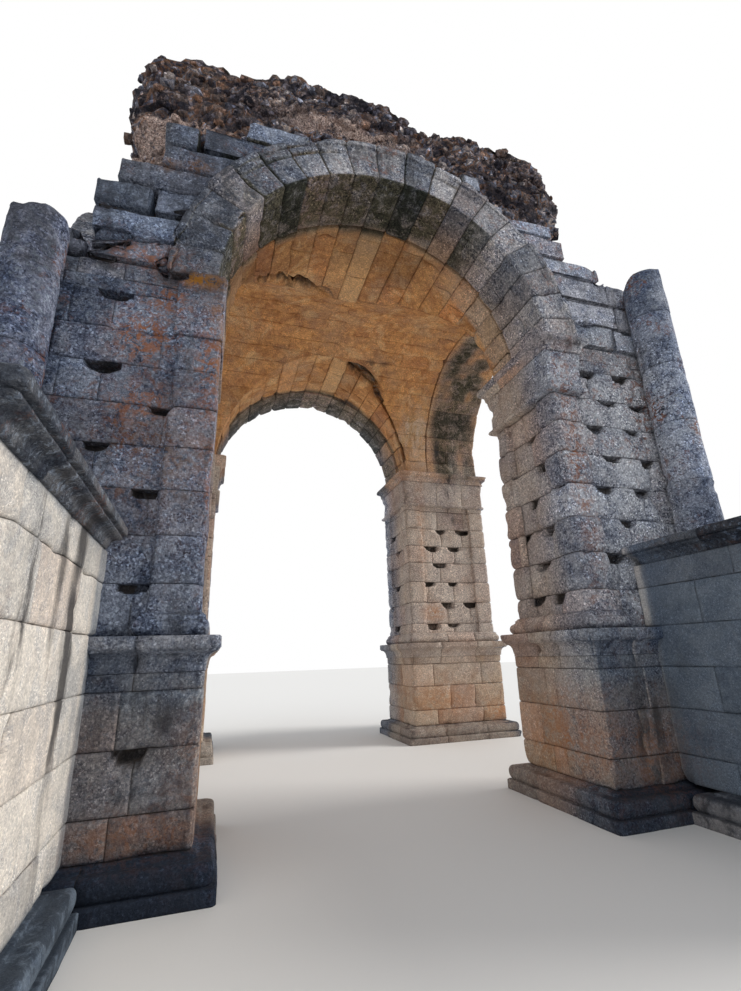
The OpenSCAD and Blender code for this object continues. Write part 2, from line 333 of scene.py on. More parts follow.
@dataclass
class Shell:
    """Closed surfaces that become one mesh, with marks that its finish reads.

    Args:
        name: name of the piece.
    """
    name: str
    points: list[Array] = field(default_factory=list)
    quads: list[Array] = field(default_factory=list)
    caps: list[Array] = field(default_factory=list)
    marks: list[Array] = field(default_factory=list)
    count: int = 0

    def add(self, points: Array, quads: Array, caps: Sequence[Array], marks: Array) -> None:
        """Takes in one closed surface, turned so that its faces point outwards.

        The volume is the sum over the faces of the triple product of their corners,
        with each cap cut into triangles round its middle.

        Args:
            points: corners, shape (N, 3).
            quads: four-cornered faces as numbers of points, shape (M, 4).
            caps: faces with many corners.
            marks: tone, hue and depth in a joint, shape (N, 3).
        """
        centre = points.mean(0)
        p = points - centre
        a, b, c, d = (p[quads[:, i]] for i in range(4))
        volume = (np.cross(a, b) * c).sum() + (np.cross(a, c) * d).sum()
        for cap in caps:
            ring = p[cap]
            volume += (np.cross(ring, np.roll(ring, -1, 0)) * ring.mean(0)).sum()
        if volume < 0:
            quads = quads[:, ::-1]
            caps = [cap[::-1] for cap in caps]
        self.points.append(points)
        self.quads.append(quads + self.count)
        self.caps += [np.asarray(cap) + self.count for cap in caps]
        self.marks.append(marks)
        self.count += len(points)

    def object(self) -> bpy.types.Object:
        """Makes the mesh object, smooth but for its caps.

        Returns:
            The object, at the origin.
        """
        points = np.concatenate(self.points)
        quads = np.concatenate(self.quads)
        mesh = bpy.data.meshes.new(self.name)
        mesh.vertices.add(len(points))
        mesh.vertices.foreach_set("co", points.astype(np.float32).ravel())
        loops = np.concatenate([quads.ravel(), *self.caps])
        sizes = np.concatenate([np.full(len(quads), 4), [len(cap) for cap in self.caps]])
        mesh.loops.add(len(loops))
        mesh.loops.foreach_set("vertex_index", loops.astype(np.int32))
        mesh.polygons.add(len(sizes))
        starts = np.concatenate([[0], np.cumsum(sizes)[:-1]])
        mesh.polygons.foreach_set("loop_start", starts.astype(np.int32))
        mesh.update(calc_edges=True)
        mesh.polygons.foreach_set("use_smooth", np.arange(len(sizes)) < len(quads))
        mesh.validate()
        normals = np.empty(len(points) * 3, np.float32)
        mesh.vertex_normals.foreach_get("vector", normals)
        Weather(points, normals.reshape(-1, 3), np.concatenate(self.marks)).store(mesh)
        item = bpy.data.objects.new(self.name, mesh)
        bpy.context.scene.collection.objects.link(item)
        return item


def grid_quads(rows: int, columns: int, ring: bool = True) -> Array:
    """Faces of a grid of points, numbered row by row.

    Args:
        rows: number of rows.
        columns: number of points in a row.
        ring: whether the last column joins the first.

    Returns:
        Faces, shape (M, 4).
    """
    last = columns if ring else columns - 1
    row, column = np.meshgrid(np.arange(rows - 1), np.arange(last), indexing="ij")
    here, right = row * columns + column, row * columns + (column + 1) % columns
    return np.stack([here, right, right + columns, here + columns], -1).reshape(-1, 4)


def box_surface(axes: Sequence[Array]) -> tuple[Array, Array]:
    """Surface of a box that is cut into a lattice.

    Args:
        axes: lines across each axis.

    Returns:
        Points on the surface, and faces as numbers of points, shape (M, 4).
    """
    number = np.arange(math.prod(len(a) for a in axes)).reshape([len(a) for a in axes])
    faces = []
    for axis in range(3):
        for end in (0, -1):
            sheet = np.take(number, end, axis)
            quad = np.stack([sheet[:-1, :-1], sheet[1:, :-1], sheet[1:, 1:], sheet[:-1, 1:]], -1)
            quad = quad.reshape(-1, 4)
            faces.append(quad[:, ::-1] if (end == 0) != (axis == 1) else quad)
    used, quads = np.unique(np.concatenate(faces), return_inverse=True)
    lattice = np.stack(np.meshgrid(*axes, indexing="ij"), -1).reshape(-1, 3)
    return lattice[used], quads.reshape(-1, 4)


def merged(values: Sequence[float], fixed: Sequence[float], gap: float) -> Array:
    """Sorted lines: every fixed one, and each other that keeps clear of the fixed.

    Args:
        values: evenly spaced lines.
        fixed: lines that have to be there.
        gap: least distance between the two kinds.

    Returns:
        The lines, in order.
    """
    firm = np.unique(np.round(np.asarray(fixed, float), 4))
    firm = firm[np.concatenate([[True], np.diff(firm) > 0.0025])]
    loose = np.asarray(values, float)
    loose = loose[np.abs(loose[:, None] - firm[None, :]).min(1) > gap]
    return np.sort(np.concatenate([firm, loose]))


@dataclass
class Outline:
    """Closed outline in plan, run round anticlockwise, cut into lines.

    Args:
        corners: corner points, in order.
        unseen: numbers of the edges that nobody sees, which stay coarse.
        step: spacing of the lines along the edges that are seen.
    """
    corners: Pairs
    unseen: tuple[int, ...] = ()
    step: float = 0.06

    @property
    def blind(self) -> set[int]:
        """Corners with an unseen edge beside them, which stay sharp."""
        return set(self.unseen) | {(e + 1) % len(self.corners) for e in self.unseen}

    def nearest(self, at: tuple[float, float]) -> tuple[int, float]:
        """Edge that a point lies nearest to, and how far along it.

        Args:
            at: the point.

        Returns:
            The edge's number and the distance from its start.
        """
        p = np.asarray(self.corners, float)
        way = np.roll(p, -1, 0) - p
        length = np.linalg.norm(way, axis=1)
        along = np.clip(((np.asarray(at) - p) * way).sum(1) / length**2, 0, 1)
        gap = np.linalg.norm(p + along[:, None] * way - np.asarray(at), axis=1)
        edge = int(gap.argmin())
        return edge, float(along[edge] * length[edge])

    def cut(self, heads: Sequence[tuple[int, float]],
            notches: Sequence[tuple[int, float, float]]) -> dict[str, Array]:
        """Cuts the outline where its joints, holes and corners need lines.

        Near a corner a line also slides along its edge when it moves in or out, by
        as much as the corner does, so that lines never cross there.

        Args:
            heads: upright joints, as edge and distance along it.
            notches: holes, as edge, distance along it and width.

        Returns:
            For each line: its point, its outward normal, how it slides per metre of
            stand-out and per metre of wear, its edge, its distance along the edge,
            and its distance to the nearest outer corner.
        """
        p = np.asarray(self.corners, float)
        count = len(p)
        way = np.roll(p, -1, 0) - p
        length = np.linalg.norm(way, axis=1)
        way /= length[:, None]
        out = np.stack([way[:, 1], -way[:, 0]], -1)
        before = np.roll(out, 1, 0)
        mitre = (before + out) / (1 + (before * out).sum(1))[:, None]
        turn = before[:, 0] * out[:, 1] - before[:, 1] * out[:, 0]
        rows: dict[str, list[Array]] = {
            k: [] for k in ("at", "out", "slide", "slip", "edge", "along", "corner")}
        for edge in range(count):
            after, size = (edge + 1) % count, length[edge]
            seen = edge not in self.unseen
            fixed = [0.0]
            if seen and size > 0.1:
                fixed += [0.010, 0.036, size - 0.036, size - 0.010]
            for head in (h for e, h in heads if e == edge):
                fixed += [head + d for d in (-0.026, -0.007, 0, 0.007, 0.026)]
            for _, middle, width in (n for n in notches if n[0] == edge):
                reach = width / 2 + 0.012
                fixed += list(middle + np.linspace(-reach, reach, 11))
            fixed = [v for v in fixed if 0 <= v < size - 0.002]
            parts = max(1, math.ceil(size / (self.step if seen else 0.45)))
            along = merged(np.linspace(0, size, parts + 1)[:-1], fixed, 0.018)
            along = along[along < size - 0.002]
            pull = (mitre[edge] @ way[edge], mitre[after] @ way[edge])
            sharp = [abs(turn[e]) > 0.1 and turn[e] > 0 and seen
                     and e not in self.blind for e in (edge, after)]
            ends = [np.where(s, gap, 9.0) for s, gap in zip(sharp, (along, size - along))]
            rows["at"].append(p[edge] + along[:, None] * way[edge])
            rows["out"].append(np.repeat(out[edge][None], len(along), 0))
            for name, reach in (("slide", 0.6), ("slip", 0.16)):
                fade = min(reach, size)
                shift = (pull[0] * ramp(along, fade, min(0.05, fade / 4))
                         + pull[1] * ramp(size - along, fade, min(0.05, fade / 4)))
                rows[name].append(shift[:, None] * way[edge])
            rows["edge"].append(np.full(len(along), edge))
            rows["along"].append(along)
            rows["corner"].append(np.minimum(*ends))
        return {k: np.concatenate(v) for k, v in rows.items()}


def plain_rows(low: float, high: float, step: float = 0.085, extra: Sequence[float] = ()) -> Array:
    """Rows of an upright face, closer together at its two beds.

    Args:
        low: lower bed.
        high: upper bed.
        step: spacing in between.
        extra: more rows that are needed.

    Returns:
        Stand-out and height of each row, shape (R, 2).
    """
    near = [v for v in (0, 0.007, 0.026) if v < (high - low) / 2]
    fixed = [low + v for v in near] + [high - v for v in near] + list(extra)
    parts = max(1, math.ceil((high - low) / step))
    height = merged(np.linspace(low, high, parts + 1), fixed, 0.018)
    return np.stack([np.zeros_like(height), height], -1)


def profile_rows(profile: Pairs, step: float = 0.027) -> Array:
    """Rows that follow a moulding's profile, with its corners kept.

    Args:
        profile: stand-out and height of each corner, from the foot up.
        step: longest distance between rows.

    Returns:
        Stand-out and height of each row, shape (R, 2).
    """
    p = np.asarray(profile, float)
    rows = [p[:1]]
    for a, b in zip(p[:-1], p[1:]):
        parts = max(1, math.ceil(np.linalg.norm(b - a) / step))
        rows.append(a + (b - a) * (np.arange(1, parts + 1) / parts)[:, None])
    return np.concatenate(rows)


def course(shell: Shell, outline: Outline, rows: Array, place: Place, key: int,
           heads: Pairs = (), notches: Sequence[Notch] = (),
           wear: Wear = Wear(), beds: tuple[bool, bool] = (True, True),
           crown: bool = False, gash: Callable[[Array], Array] | None = None) -> None:
    """Adds one course of stones, as a closed band with worn joints.

    A point lies on the outline, moved out by the row's stand-out and in by the
    wear: a groove that fades with the distance from each joint, a round at each
    outer corner, a half-moon hole at each notch, and noise read at the point's own
    place in the arch.

    Args:
        shell: takes the surface.
        outline: plan of the course.
        rows: stand-out and height of each row.
        place: puts local points (a, b, height) in the arch.
        key: number that keeps the course's random stones its own.
        heads: points in plan where upright joints stand.
        notches: robbed clamp holes, hanging from the upper bed.
        wear: depth of the wear.
        beds: whether the lower and the upper bed are open joints.
        crown: whether the top is seen, and gets rings of its own up to its middle.
        gash: more depth, worked out from places in the arch.
    """
    joints = [outline.nearest(h) for h in heads]
    holes = [(*outline.nearest(n.at), n) for n in notches]
    lines = outline.cut(joints, [(e, a, n.width) for e, a, n in holes])
    at, corner = lines["at"], lines["corner"]
    out, wear_way = lines["out"] + lines["slide"], lines["out"] + lines["slip"]
    low, high = rows[0, 1], rows[-1, 1]
    shape = (len(rows), len(at))
    local = np.empty((*shape, 3))
    local[..., :2] = at[None] + out[None] * rows[:, None, :1]
    local[..., 2] = rows[:, 1][:, None]
    world = place(local)
    order = lines["edge"] * 100.0 + lines["along"]
    marks = np.sort([e * 100.0 + a for e, a in joints]) if joints else np.zeros(0)
    stone = np.searchsorted(marks, order, side="right") % max(len(marks), 1)
    cell = np.stack([stone, np.full_like(stone, key), np.zeros_like(stone)], -1).astype(np.int64)
    tone, hue = scatter(cell, 3), scatter(cell, 5)
    spread = wear.open * (0.75 + 0.9 * ramp(waves(world, 0.16, 11), -0.1, 0.8))
    bed = np.full(shape, 9.0)
    if beds[0]:
        bed = np.minimum(bed, (rows[:, 1] - low)[:, None])
    if beds[1]:
        bed = np.minimum(bed, (high - rows[:, 1])[:, None])
    head = np.full(shape, 9.0)
    for edge, along in joints:
        head = np.minimum(head, np.where(lines["edge"] == edge,
                                         np.abs(lines["along"] - along), 9.0)[None])
    groove = wear.joint * np.maximum(np.exp(-bed / spread), np.exp(-head / spread))
    rim = np.minimum(np.minimum(bed, head), corner[None])
    depth = groove + np.maximum(0, wear.edge - corner)[None] ** 2 / (2 * wear.edge)
    depth = wear.eat(depth, world, rim, 0.12, 0.17, 0.05)
    depth += (wear.step * tone)[None]
    broken = np.zeros(shape) if gash is None else gash(world)
    depth += broken
    inside = np.zeros(shape)
    for edge, along, notch in holes:
        under = high - rows[:, 1][:, None]
        aside = (lines["along"][None] - along - notch.lean * under) / (notch.width / 2)
        gap = (1.04 - np.hypot(np.abs(aside) ** 1.5, under / notch.height)) / 0.16
        hole = np.where(lines["edge"][None] == edge, np.clip(gap, 0, 1), 0)
        inside = np.maximum(inside, hole * notch.depth)
    depth = np.where(inside > 0.002, np.maximum(depth, inside), depth)
    local[..., :2] -= wear_way[None] * depth[..., None]
    thread = wear.thread * (0.6 + 0.6 * waves(world, 0.23, 13, 2))
    thread = thread * np.exp(-np.minimum(bed, head) / 0.0055)
    # dark joints, and painted shade in the clamp holes and the breaks
    deep = np.clip(np.maximum(np.maximum(thread, inside / 0.1), 0.9 * ramp(broken, 0.05, 0.15)), 0, 1)
    if crown:
        centre = local[-1].mean(0)
        shrink = np.array([0.97, 0.93, 0.86, 0.76, 0.64, 0.5, 0.34, 0.17, 0.05])
        inner = centre + (local[-1] - centre) * shrink[:, None, None]
        inner[..., 2] += 0.02 * waves(place(inner), 0.3, 51, 3) * ramp(shrink, 1, 0.8)[:, None]
        local = np.concatenate([local, inner])
        deep = np.concatenate([deep, np.zeros((len(shrink), shape[1]))])
        shape = local.shape[:2]
    tone, hue = (0.5 + wear.vary * (v - 0.5) for v in (tone, hue))
    mark = np.stack([np.broadcast_to(tone, shape), np.broadcast_to(hue, shape), deep], -1)
    first = np.arange(shape[1])
    last = first + (shape[0] - 1) * shape[1]
    shell.add(place(local).reshape(-1, 3), grid_quads(*shape), [first[::-1], last],
              mark.reshape(-1, 3))


def block(shell: Shell, low: Sequence[float], high: Sequence[float], place: Place,
          key: int, wear: Wear = Wear(), step: float = 0.095,
          gash: Callable[[Array], Array] | None = None) -> None:
    """Adds one loose-edged block of stone as a closed surface.

    A point of the box's surface is pulled back to an inner box and pushed out again
    by the corner radius, which rounds every edge, less the noise at its place.

    Args:
        shell: takes the surface.
        low: lowest corner, in the local frame.
        high: highest corner.
        place: puts local points in the arch.
        key: number that keeps the stone's colour its own.
        wear: depth of the wear.
        step: spacing of the lines on the faces.
        gash: more depth, worked out from places in the arch.
    """
    low, high = np.asarray(low, float), np.asarray(high, float)
    axes = []
    for a, b in zip(low, high):
        edge = min(0.04, (b - a) / 4)
        fixed = [a, a + edge / 3, a + edge, b - edge, b - edge / 3, b]
        axes.append(merged(np.linspace(a, b, max(2, math.ceil((b - a) / step)) + 1), fixed, 0.03))
    p, quads = box_surface(axes)
    radius = np.minimum(wear.edge, (high - low).min() / 3)
    core = np.clip(p, low + radius, high - radius)
    way = p - core
    way /= np.linalg.norm(way, axis=1)[:, None]
    world = place(p)
    rim = np.sort(np.minimum(p - low, high - p), 1)[:, 1]
    depth = wear.eat(np.zeros(len(p)), world, rim, 0.085, 0.19, 0.06)
    cell = np.array([[key, 1, 0]], np.int64)
    tone, hue = float(scatter(cell, 3)[0]), float(scatter(cell, 5)[0])
    broken = np.zeros(len(p)) if gash is None else gash(world)
    depth += wear.step * tone + broken
    points = place(core + way * (radius - depth)[:, None])
    # dark edges at the joints, and painted shade in the breaks
    deep = np.maximum(0.45 * np.exp(-rim / 0.008), 0.9 * ramp(broken, 0.05, 0.15))
    mark = np.stack([np.full(len(p), tone), np.full(len(p), hue), deep], -1)
    shell.add(points, quads, [], mark)


# Stains, growth, painted shade and painted light, read from where a point is and which way its face looks


class Spot(Enum):
    """Kinds of spot, numbered as their strengths are kept."""
    GOLD = 0
    RUST = 1
    PALE = 2
    SOOT_AND_SHADOW = 3
    BLEACH_AND_LIGHT = 4


# Spots with a colour of their own: middle from the body's middle, reach along X, Y
# and Z, and strength in the middle
SPOTS = {
    Spot.GOLD: (
        (-2.28, -3.38, 5.60, 0.28, 0.3, 0.10, 1.2),
        (-2.12, -3.38, 5.26, 0.10, 0.3, 0.13, 1.0),
        (-2.05, -3.38, 4.75, 0.06, 0.3, 0.50, 1.0),
        (-2.55, -3.35, 3.6, 0.6, 0.3, 0.9, 0.30),
        (-2.81, -3.38, 7.20, 0.09, 0.2, 0.07, 0.9),
        (-2.46, -3.38, 7.27, 0.15, 0.2, 0.11, 0.8),
        (-2.9, -3.1, 9.3, 0.6, 0.7, 0.25, 0.6)),
    Spot.RUST: (
        (-2.85, -3.38, 5.84, 0.32, 0.3, 0.16, 1.2),
        (-2.62, -3.38, 5.30, 0.26, 0.3, 0.26, 0.9),
        (-2.80, -3.38, 4.85, 0.30, 0.3, 0.30, 1.2),
        (-2.15, -3.38, 4.5, 0.16, 0.3, 0.8, 0.9),
        (-2.80, -3.38, 4.1, 0.30, 0.3, 0.25, 0.9),
        (-2.06, -3.38, 3.3, 0.06, 0.3, 0.6, 0.8),
        (-2.40, -3.44, 0.45, 0.45, 0.3, 0.13, 0.55),
        (-2.0, -2.6, 0.8, 0.2, 0.9, 0.5, 0.7),
        (2.0, -2.7, 0.75, 0.25, 0.8, 0.45, 0.8),
        (2.30, -3.38, 4.0, 0.16, 0.3, 1.6, 0.75),
        (2.58, -3.44, 0.60, 0.30, 0.3, 0.35, 0.7),
        (2.42, 1.9, 4.3, 0.11, 0.3, 1.5, 0.45),
        (2.62, 1.9, 2.5, 0.30, 0.3, 0.22, 0.8),
        (2.55, 1.8, 0.75, 0.7, 0.4, 0.35, 0.75),
        (3.85, 1.84, 0.5, 0.35, 0.3, 0.18, 0.9),
        (2.0, 2.5, 1.0, 0.3, 0.9, 0.6, 0.4)),
    Spot.PALE: (
        (-2.87, -3.62, 1.9, 0.2, 0.07, 0.7, 0.7),
        (-3.05, -3.15, 7.65, 0.38, 0.5, 0.42, 1.0),
        (-2.8, -3.15, 8.12, 0.7, 0.5, 0.06, 1.0),
        (-0.60, -3.1, 8.95, 1.1, 0.6, 0.26, 1.0),
        (-1.96, -3.38, 6.97, 0.26, 0.2, 0.17, 0.9),
        (-1.9, -0.6, 6.5, 0.3, 0.5, 0.5, 0.5),
        (2.40, 1.8, 6.6, 0.42, 0.5, 0.75, 1.0)),
    # black streaks, with painted shadow on the left pedestal's inner side, under the core's overhang, in the
    # haunch's cavity and along the broken groin
    Spot.SOOT_AND_SHADOW: (
        (-2.87, -5.07, 2.2, 0.3, 0.10, 0.8, 0.75),
        (-2.87, -4.14, 1.9, 0.3, 0.16, 1.3, 0.85),
        (-2.87, -4.55, 2.3, 0.3, 0.09, 0.7, 0.65),
        (-2.4, -3.44, 1.28, 0.8, 0.3, 0.2, 0.45),
        (2.60, -3.44, 1.0, 0.28, 0.4, 0.9, 0.8),
        (-3.30, -3.4, 5.99, 0.20, 0.5, 0.12, 1.4),
        (-2.8, -3.15, 8.36, 0.8, 0.5, 0.10, 1.2),
        (-1.85, -3.15, 8.85, 0.75, 0.6, 0.28, 0.9),
        (1.9, -3.0, 8.6, 1.1, 0.9, 0.6, 0.7),
        (3.15, 1.9, 5.3, 0.12, 0.3, 1.0, 1.2),
        (3.27, 1.9, 4.6, 0.22, 0.3, 0.20, 1.3),
        (2.98, 1.9, 6.3, 0.13, 0.4, 0.5, 1.0),
        (1.2, 1.0, 7.85, 0.55, 0.30, 0.25, 0.5),
        (-1.74, -1.78, 6.85, 0.16, 0.16, 0.20, 1.1),
        (-1.35, -1.52, 7.30, 0.20, 0.18, 0.14, 1.2),
        (-0.85, -1.20, 7.60, 0.22, 0.14, 0.12, 1.1),
        (0.75, 2.45, 7.6, 1.1, 0.15, 0.3, 0.6)),
    # pale bleaching, with painted light on the right front pier, the rear right pier and the right passage
    # faces
    Spot.BLEACH_AND_LIGHT: (
        (3.3, -3.45, 4.1, 1.3, 0.35, 2.4, 1.15),
        (-3.2, -3.3, 6.9, 1.1, 0.4, 1.1, 0.40),
        (-2.3, -3.4, 2.9, 0.5, 0.3, 0.9, 0.25),
        (-2.45, -3.44, 0.78, 0.7, 0.3, 0.26, 0.55),
        (-2.35, -3.5, 1.78, 0.6, 0.3, 0.16, 0.5),
        (2.9, 2.1, 3.2, 1.4, 0.5, 3.2, 0.85),
        (3.84, -3.85, 4.3, 0.30, 0.15, 0.35, 0.9),
        (3.84, -3.85, 6.3, 0.35, 0.15, 0.45, 0.7),
        (2.05, -2.6, 3.6, 0.3, 0.9, 2.4, 0.30),
        (1.95, -2.7, 1.3, 0.3, 1.0, 0.6, 0.4)),
}

# Painted blue shade on faces that lie in shade, darker and bluer: strength, and smooth
# steps, each by what it is measured along and the values where it starts and ends
SHADES = (
    (0.60, (("left", 1.9, 2.1), ("front", 2.6, 3.2), ("deep", 3.62, 3.50))),
    (0.48, (("left", 0.5, 1.3), ("front", 3.2, 3.36), ("high", 5.7, 5.9), ("high", 8.5, 8.3))),
    (0.38, (("left", 2.4, 2.5), ("front", 3.40, 3.55), ("high", 2.90, 3.0))),
    (0.92, (("right", 2.5, 2.8), ("front", 3.36, 3.46), ("high", 3.0, 2.85))),
    (0.55, (("high", 0.36, 0.30), ("deep", 3.40, 3.55))),
    (0.30, (("right", 2.4, 2.5), ("front", 3.40, 3.55), ("high", 2.90, 3.0))),
    (0.60, (("high", 2.55, 2.62), ("high", 2.92, 2.86), ("deep", 3.36, 3.42), ("wide", 2.4, 2.4001))),
    (0.95, (("left", 1.0, 1.5), ("high", 0.36, 0.30), ("front", 2.2, 2.8))),
    (0.55, (("left", 3.3, 3.5), ("front", 3.40, 3.50), ("high", 2.90, 3.0))),
)


@dataclass
class Weather:
    """Stains, painted shade and painted light, and growth at every point of a mesh.

    Warm stone lies inside the passages, away from the open faces; green moss lies
    on the undersides close to those faces; dark crust lies on tops, on the base and
    under the broken top, mixed with painted shade on the left front; painted blue
    shade lies low down and on the faces listed in SHADES; spots of black and of
    bleaching carry painted shadow and painted light in places; lichen grows on the
    open faces.

    Args:
        points: the points.
        normals: outward normals at the points.
        marks: tone, hue and depth in a joint.
    """
    points: Array
    normals: Array
    marks: Array

    def __post_init__(self) -> None:
        """Measures the points from the body's middle, and finds the passages."""
        p, turned = self.points - MIDDLE, self.normals
        self.middle = p
        self.along = {"left": -p[:, 0], "right": p[:, 0], "front": -p[:, 1], "high": p[:, 2],
                      "wide": np.abs(p[:, 0]), "deep": np.abs(p[:, 1])}
        self.drift = waves(self.points, 0.9, 61, 2)
        x, y, z = self.along["wide"], self.along["deep"], p[:, 2]
        inward_x, inward_y = (-turned[:, i] * np.sign(p[:, i]) for i in (0, 1))
        low_down, high_up = ramp(z, 5.75, 5.65), ramp(z, 5.4, 5.8)
        main = np.maximum(ramp(inward_x, 0.3, 0.8), ramp(x, 2.34, 2.22) * ramp(y, 3.36, 3.28) * low_down)
        main = main * ramp(x, 2.9, 2.75) * ramp(y, 3.6, 3.35)
        cross = np.maximum(ramp(inward_y, 0.3, 0.8), ramp(y, 2.14, 2.04) * ramp(x, 3.98, 3.90) * low_down)
        cross = cross * ramp(y, 2.8, 2.6) * ramp(x, 4.3, 4.1)
        under = ramp(-turned[:, 2], 0.05, 0.4) * ramp(z, 5.6, 5.75)
        under_main = under * ramp(x, 2.3, 2.15) * ramp(y, 3.44, 3.36) * ramp(z, 8.2, 7.9)
        under_cross = under * ramp(y, 2.1, 2.0) * ramp(x, 4.1, 4.0)
        self.arch_main = np.clip(np.maximum(main * high_up, under_main), 0, 1)
        self.arch_cross = np.clip(np.maximum(cross * high_up, under_cross), 0, 1)
        self.inside = np.clip(main + cross + under_main + under_cross, 0, 1)
        self.low = ramp(z, 2.0, 1.8) * ramp(p[:, 1], 0, -1.5)

    def moss(self) -> Array:
        """Damp green near both ends of the passages' heads, stone by stone.

        Returns:
            Strength at each point, from 0 to 1.
        """
        p, tone, hue = self.middle, self.marks[:, 0], self.marks[:, 1]
        inner, aside = BODY.half_d - self.along["deep"], BODY.half_w - self.along["wide"]
        main = self.arch_main * ramp(inner + 0.16 * self.drift + 0.28 * (tone - 0.5), 1.02, 0.82)
        main = main * np.where(p[:, 1] < 0, 1 - 0.85 * ramp(p[:, 0], 1.1, 1.7), 0.8)
        main = main * (1 - 0.7 * ramp(hue, 0.78, 0.80))
        runs = waves(self.points * np.array([1.0, 1.0, 0.22]), 0.30, 63, 2)
        cross = self.arch_cross * ramp(aside + 0.16 * self.drift, 1.34, 1.05) * ramp(aside, -0.5, 0.5)
        return np.maximum(main, 0.95 * cross * ramp(runs, -0.75, -0.05))

    def warm(self, moss: Array) -> Array:
        """Ochre inside the passages and low on the front, where no moss is.

        Args:
            moss: strength of the moss at each point.

        Returns:
            Strength at each point, from 0 to 1.
        """
        p, y, z = self.middle, self.along["deep"], self.middle[:, 2]
        warm = self.inside * ramp(BODY.half_d - y + 0.12 * self.drift, 0.1, 0.9)
        paler = 0.72 * ramp(p[:, 0], 1.15, 1.75) * ramp(-p[:, 1], 0.4, 1.1)
        warm = warm * np.where(z < 5.6, 0.84, 1 - paler)
        cross = self.arch_cross * ramp(BODY.half_w - self.along["wide"], 0.1, 1.1)
        warm = np.maximum(warm, cross) * (1 - 0.6 * moss)
        foot = self.low * ramp(z, 1.45, 1.2) * ramp(z, 0.30, 0.36) * ramp(y, 3.62, 3.50)
        return np.maximum(warm, 0.42 * foot)

    def crust_and_shade(self) -> Array:
        """Dark crust on tops, near the ground and high up, and crust mixed with painted shade on the left
        front.

        Returns:
            Strength at each point, from 0 to 1.
        """
        p, turned, z, outside = self.middle, self.normals, self.middle[:, 2], 1 - self.inside
        crust_and_shade = np.where(z < 3, 0.45, 0.75) * ramp(turned[:, 2], 0.35, 0.9)
        crust_and_shade += outside * (0.65 * ramp(z, 0.34, 0.28) + 0.40 * ramp(z + 0.3 * self.drift, 5.0, 5.7))
        # painted shade, mixed with crust, on the front faces of the left front pier
        crust_and_shade += 0.45 * ramp(-p[:, 0], 1.9, 2.1) * ramp(-p[:, 1], 3.2, 3.4) * ramp(-turned[:, 1], 0.3, 0.7)
        return np.clip(crust_and_shade + 0.25 * self.drift, 0, 1)

    def shade(self) -> Array:
        """Painted blue shade at each point: low down, at the front of the main barrel and on the faces listed
        in SHADES, the most that any rule gives it.

        Returns:
            Strength at each point, from 0 to 1.
        """
        along = self.along
        shade = 0.30 * self.arch_main * ramp(along["front"], 1.5, 1.9) * ramp(along["right"], 1.4, 0.8)
        foot = 0.70 * self.low * ramp(along["deep"], 3.62, 3.50) * (1 - 0.8 * self.inside)
        shade = np.maximum(shade, foot)
        # painted shade: each row darkens and blues the faces that lie in shade
        for strength, steps in SHADES:
            weight = np.prod([ramp(along[name], start, end) for name, start, end in steps], axis=0)
            shade = np.maximum(shade, strength * weight)
        return shade

    def spots(self) -> Array:
        """Strength of each kind of spot at each point.

        Returns:
            One column for each kind of spot, shape (N, 5).
        """
        found = np.zeros((len(self.points), len(Spot)))
        mottle = 0.8 + 0.6 * waves(self.points, 0.2, 71, 2)
        for kind, rows in SPOTS.items():
            for row in rows:
                gap = np.linalg.norm((self.middle - row[:3]) / row[3:6], axis=1)
                weight = np.clip(row[6] * np.exp(-gap**2) * mottle, 0, 1)
                found[:, kind.value] = np.maximum(found[:, kind.value], weight)
        return found

    def store(self, mesh: bpy.types.Mesh) -> None:
        """Stores the marks and the weather as four attributes of a mesh.

        Args:
            mesh: mesh whose vertices these points are.
        """
        moss, spots = self.moss(), self.spots()
        lichen = np.clip((1 - self.inside) * (0.55 + 0.5 * self.drift), 0, 1)
        # black streaks with painted shadow, less pale bleaching with painted light
        soot_and_painted_light = spots[:, Spot.SOOT_AND_SHADOW.value] - spots[:, Spot.BLEACH_AND_LIGHT.value]
        # the last layer holds moss, painted blue shade, and black streaks with painted shadow less painted
        # light
        layers = {"stone": self.marks, "weather": np.stack([self.warm(moss), self.crust_and_shade(), lichen], -1),
                  "patch": spots[:, :Spot.SOOT_AND_SHADOW.value], "damp": np.stack([moss, self.shade(), soot_and_painted_light], -1)}
        for name, values in layers.items():
            layer = mesh.attributes.new(name, "FLOAT_VECTOR", "POINT")
            layer.data.foreach_set("vector", values.astype(np.float32).ravel())


# Finishes


@dataclass(frozen=True)
class Value:
    """Number or colour that a node puts out, which can be added and multiplied.

    Args:
        graph: node tree that it belongs to.
        socket: where it comes out.
    """
    graph: "Graph"
    socket: bpy.types.NodeSocket

    def __add__(self, other: "Value | float") -> "Value":
        """Sum of two numbers."""
        return self.graph.math("ADD", self, other)

    def __mul__(self, other: "Value | float") -> "Value":
        """Product of two numbers."""
        return self.graph.math("MULTIPLY", self, other)


Source = Value | Colour | float


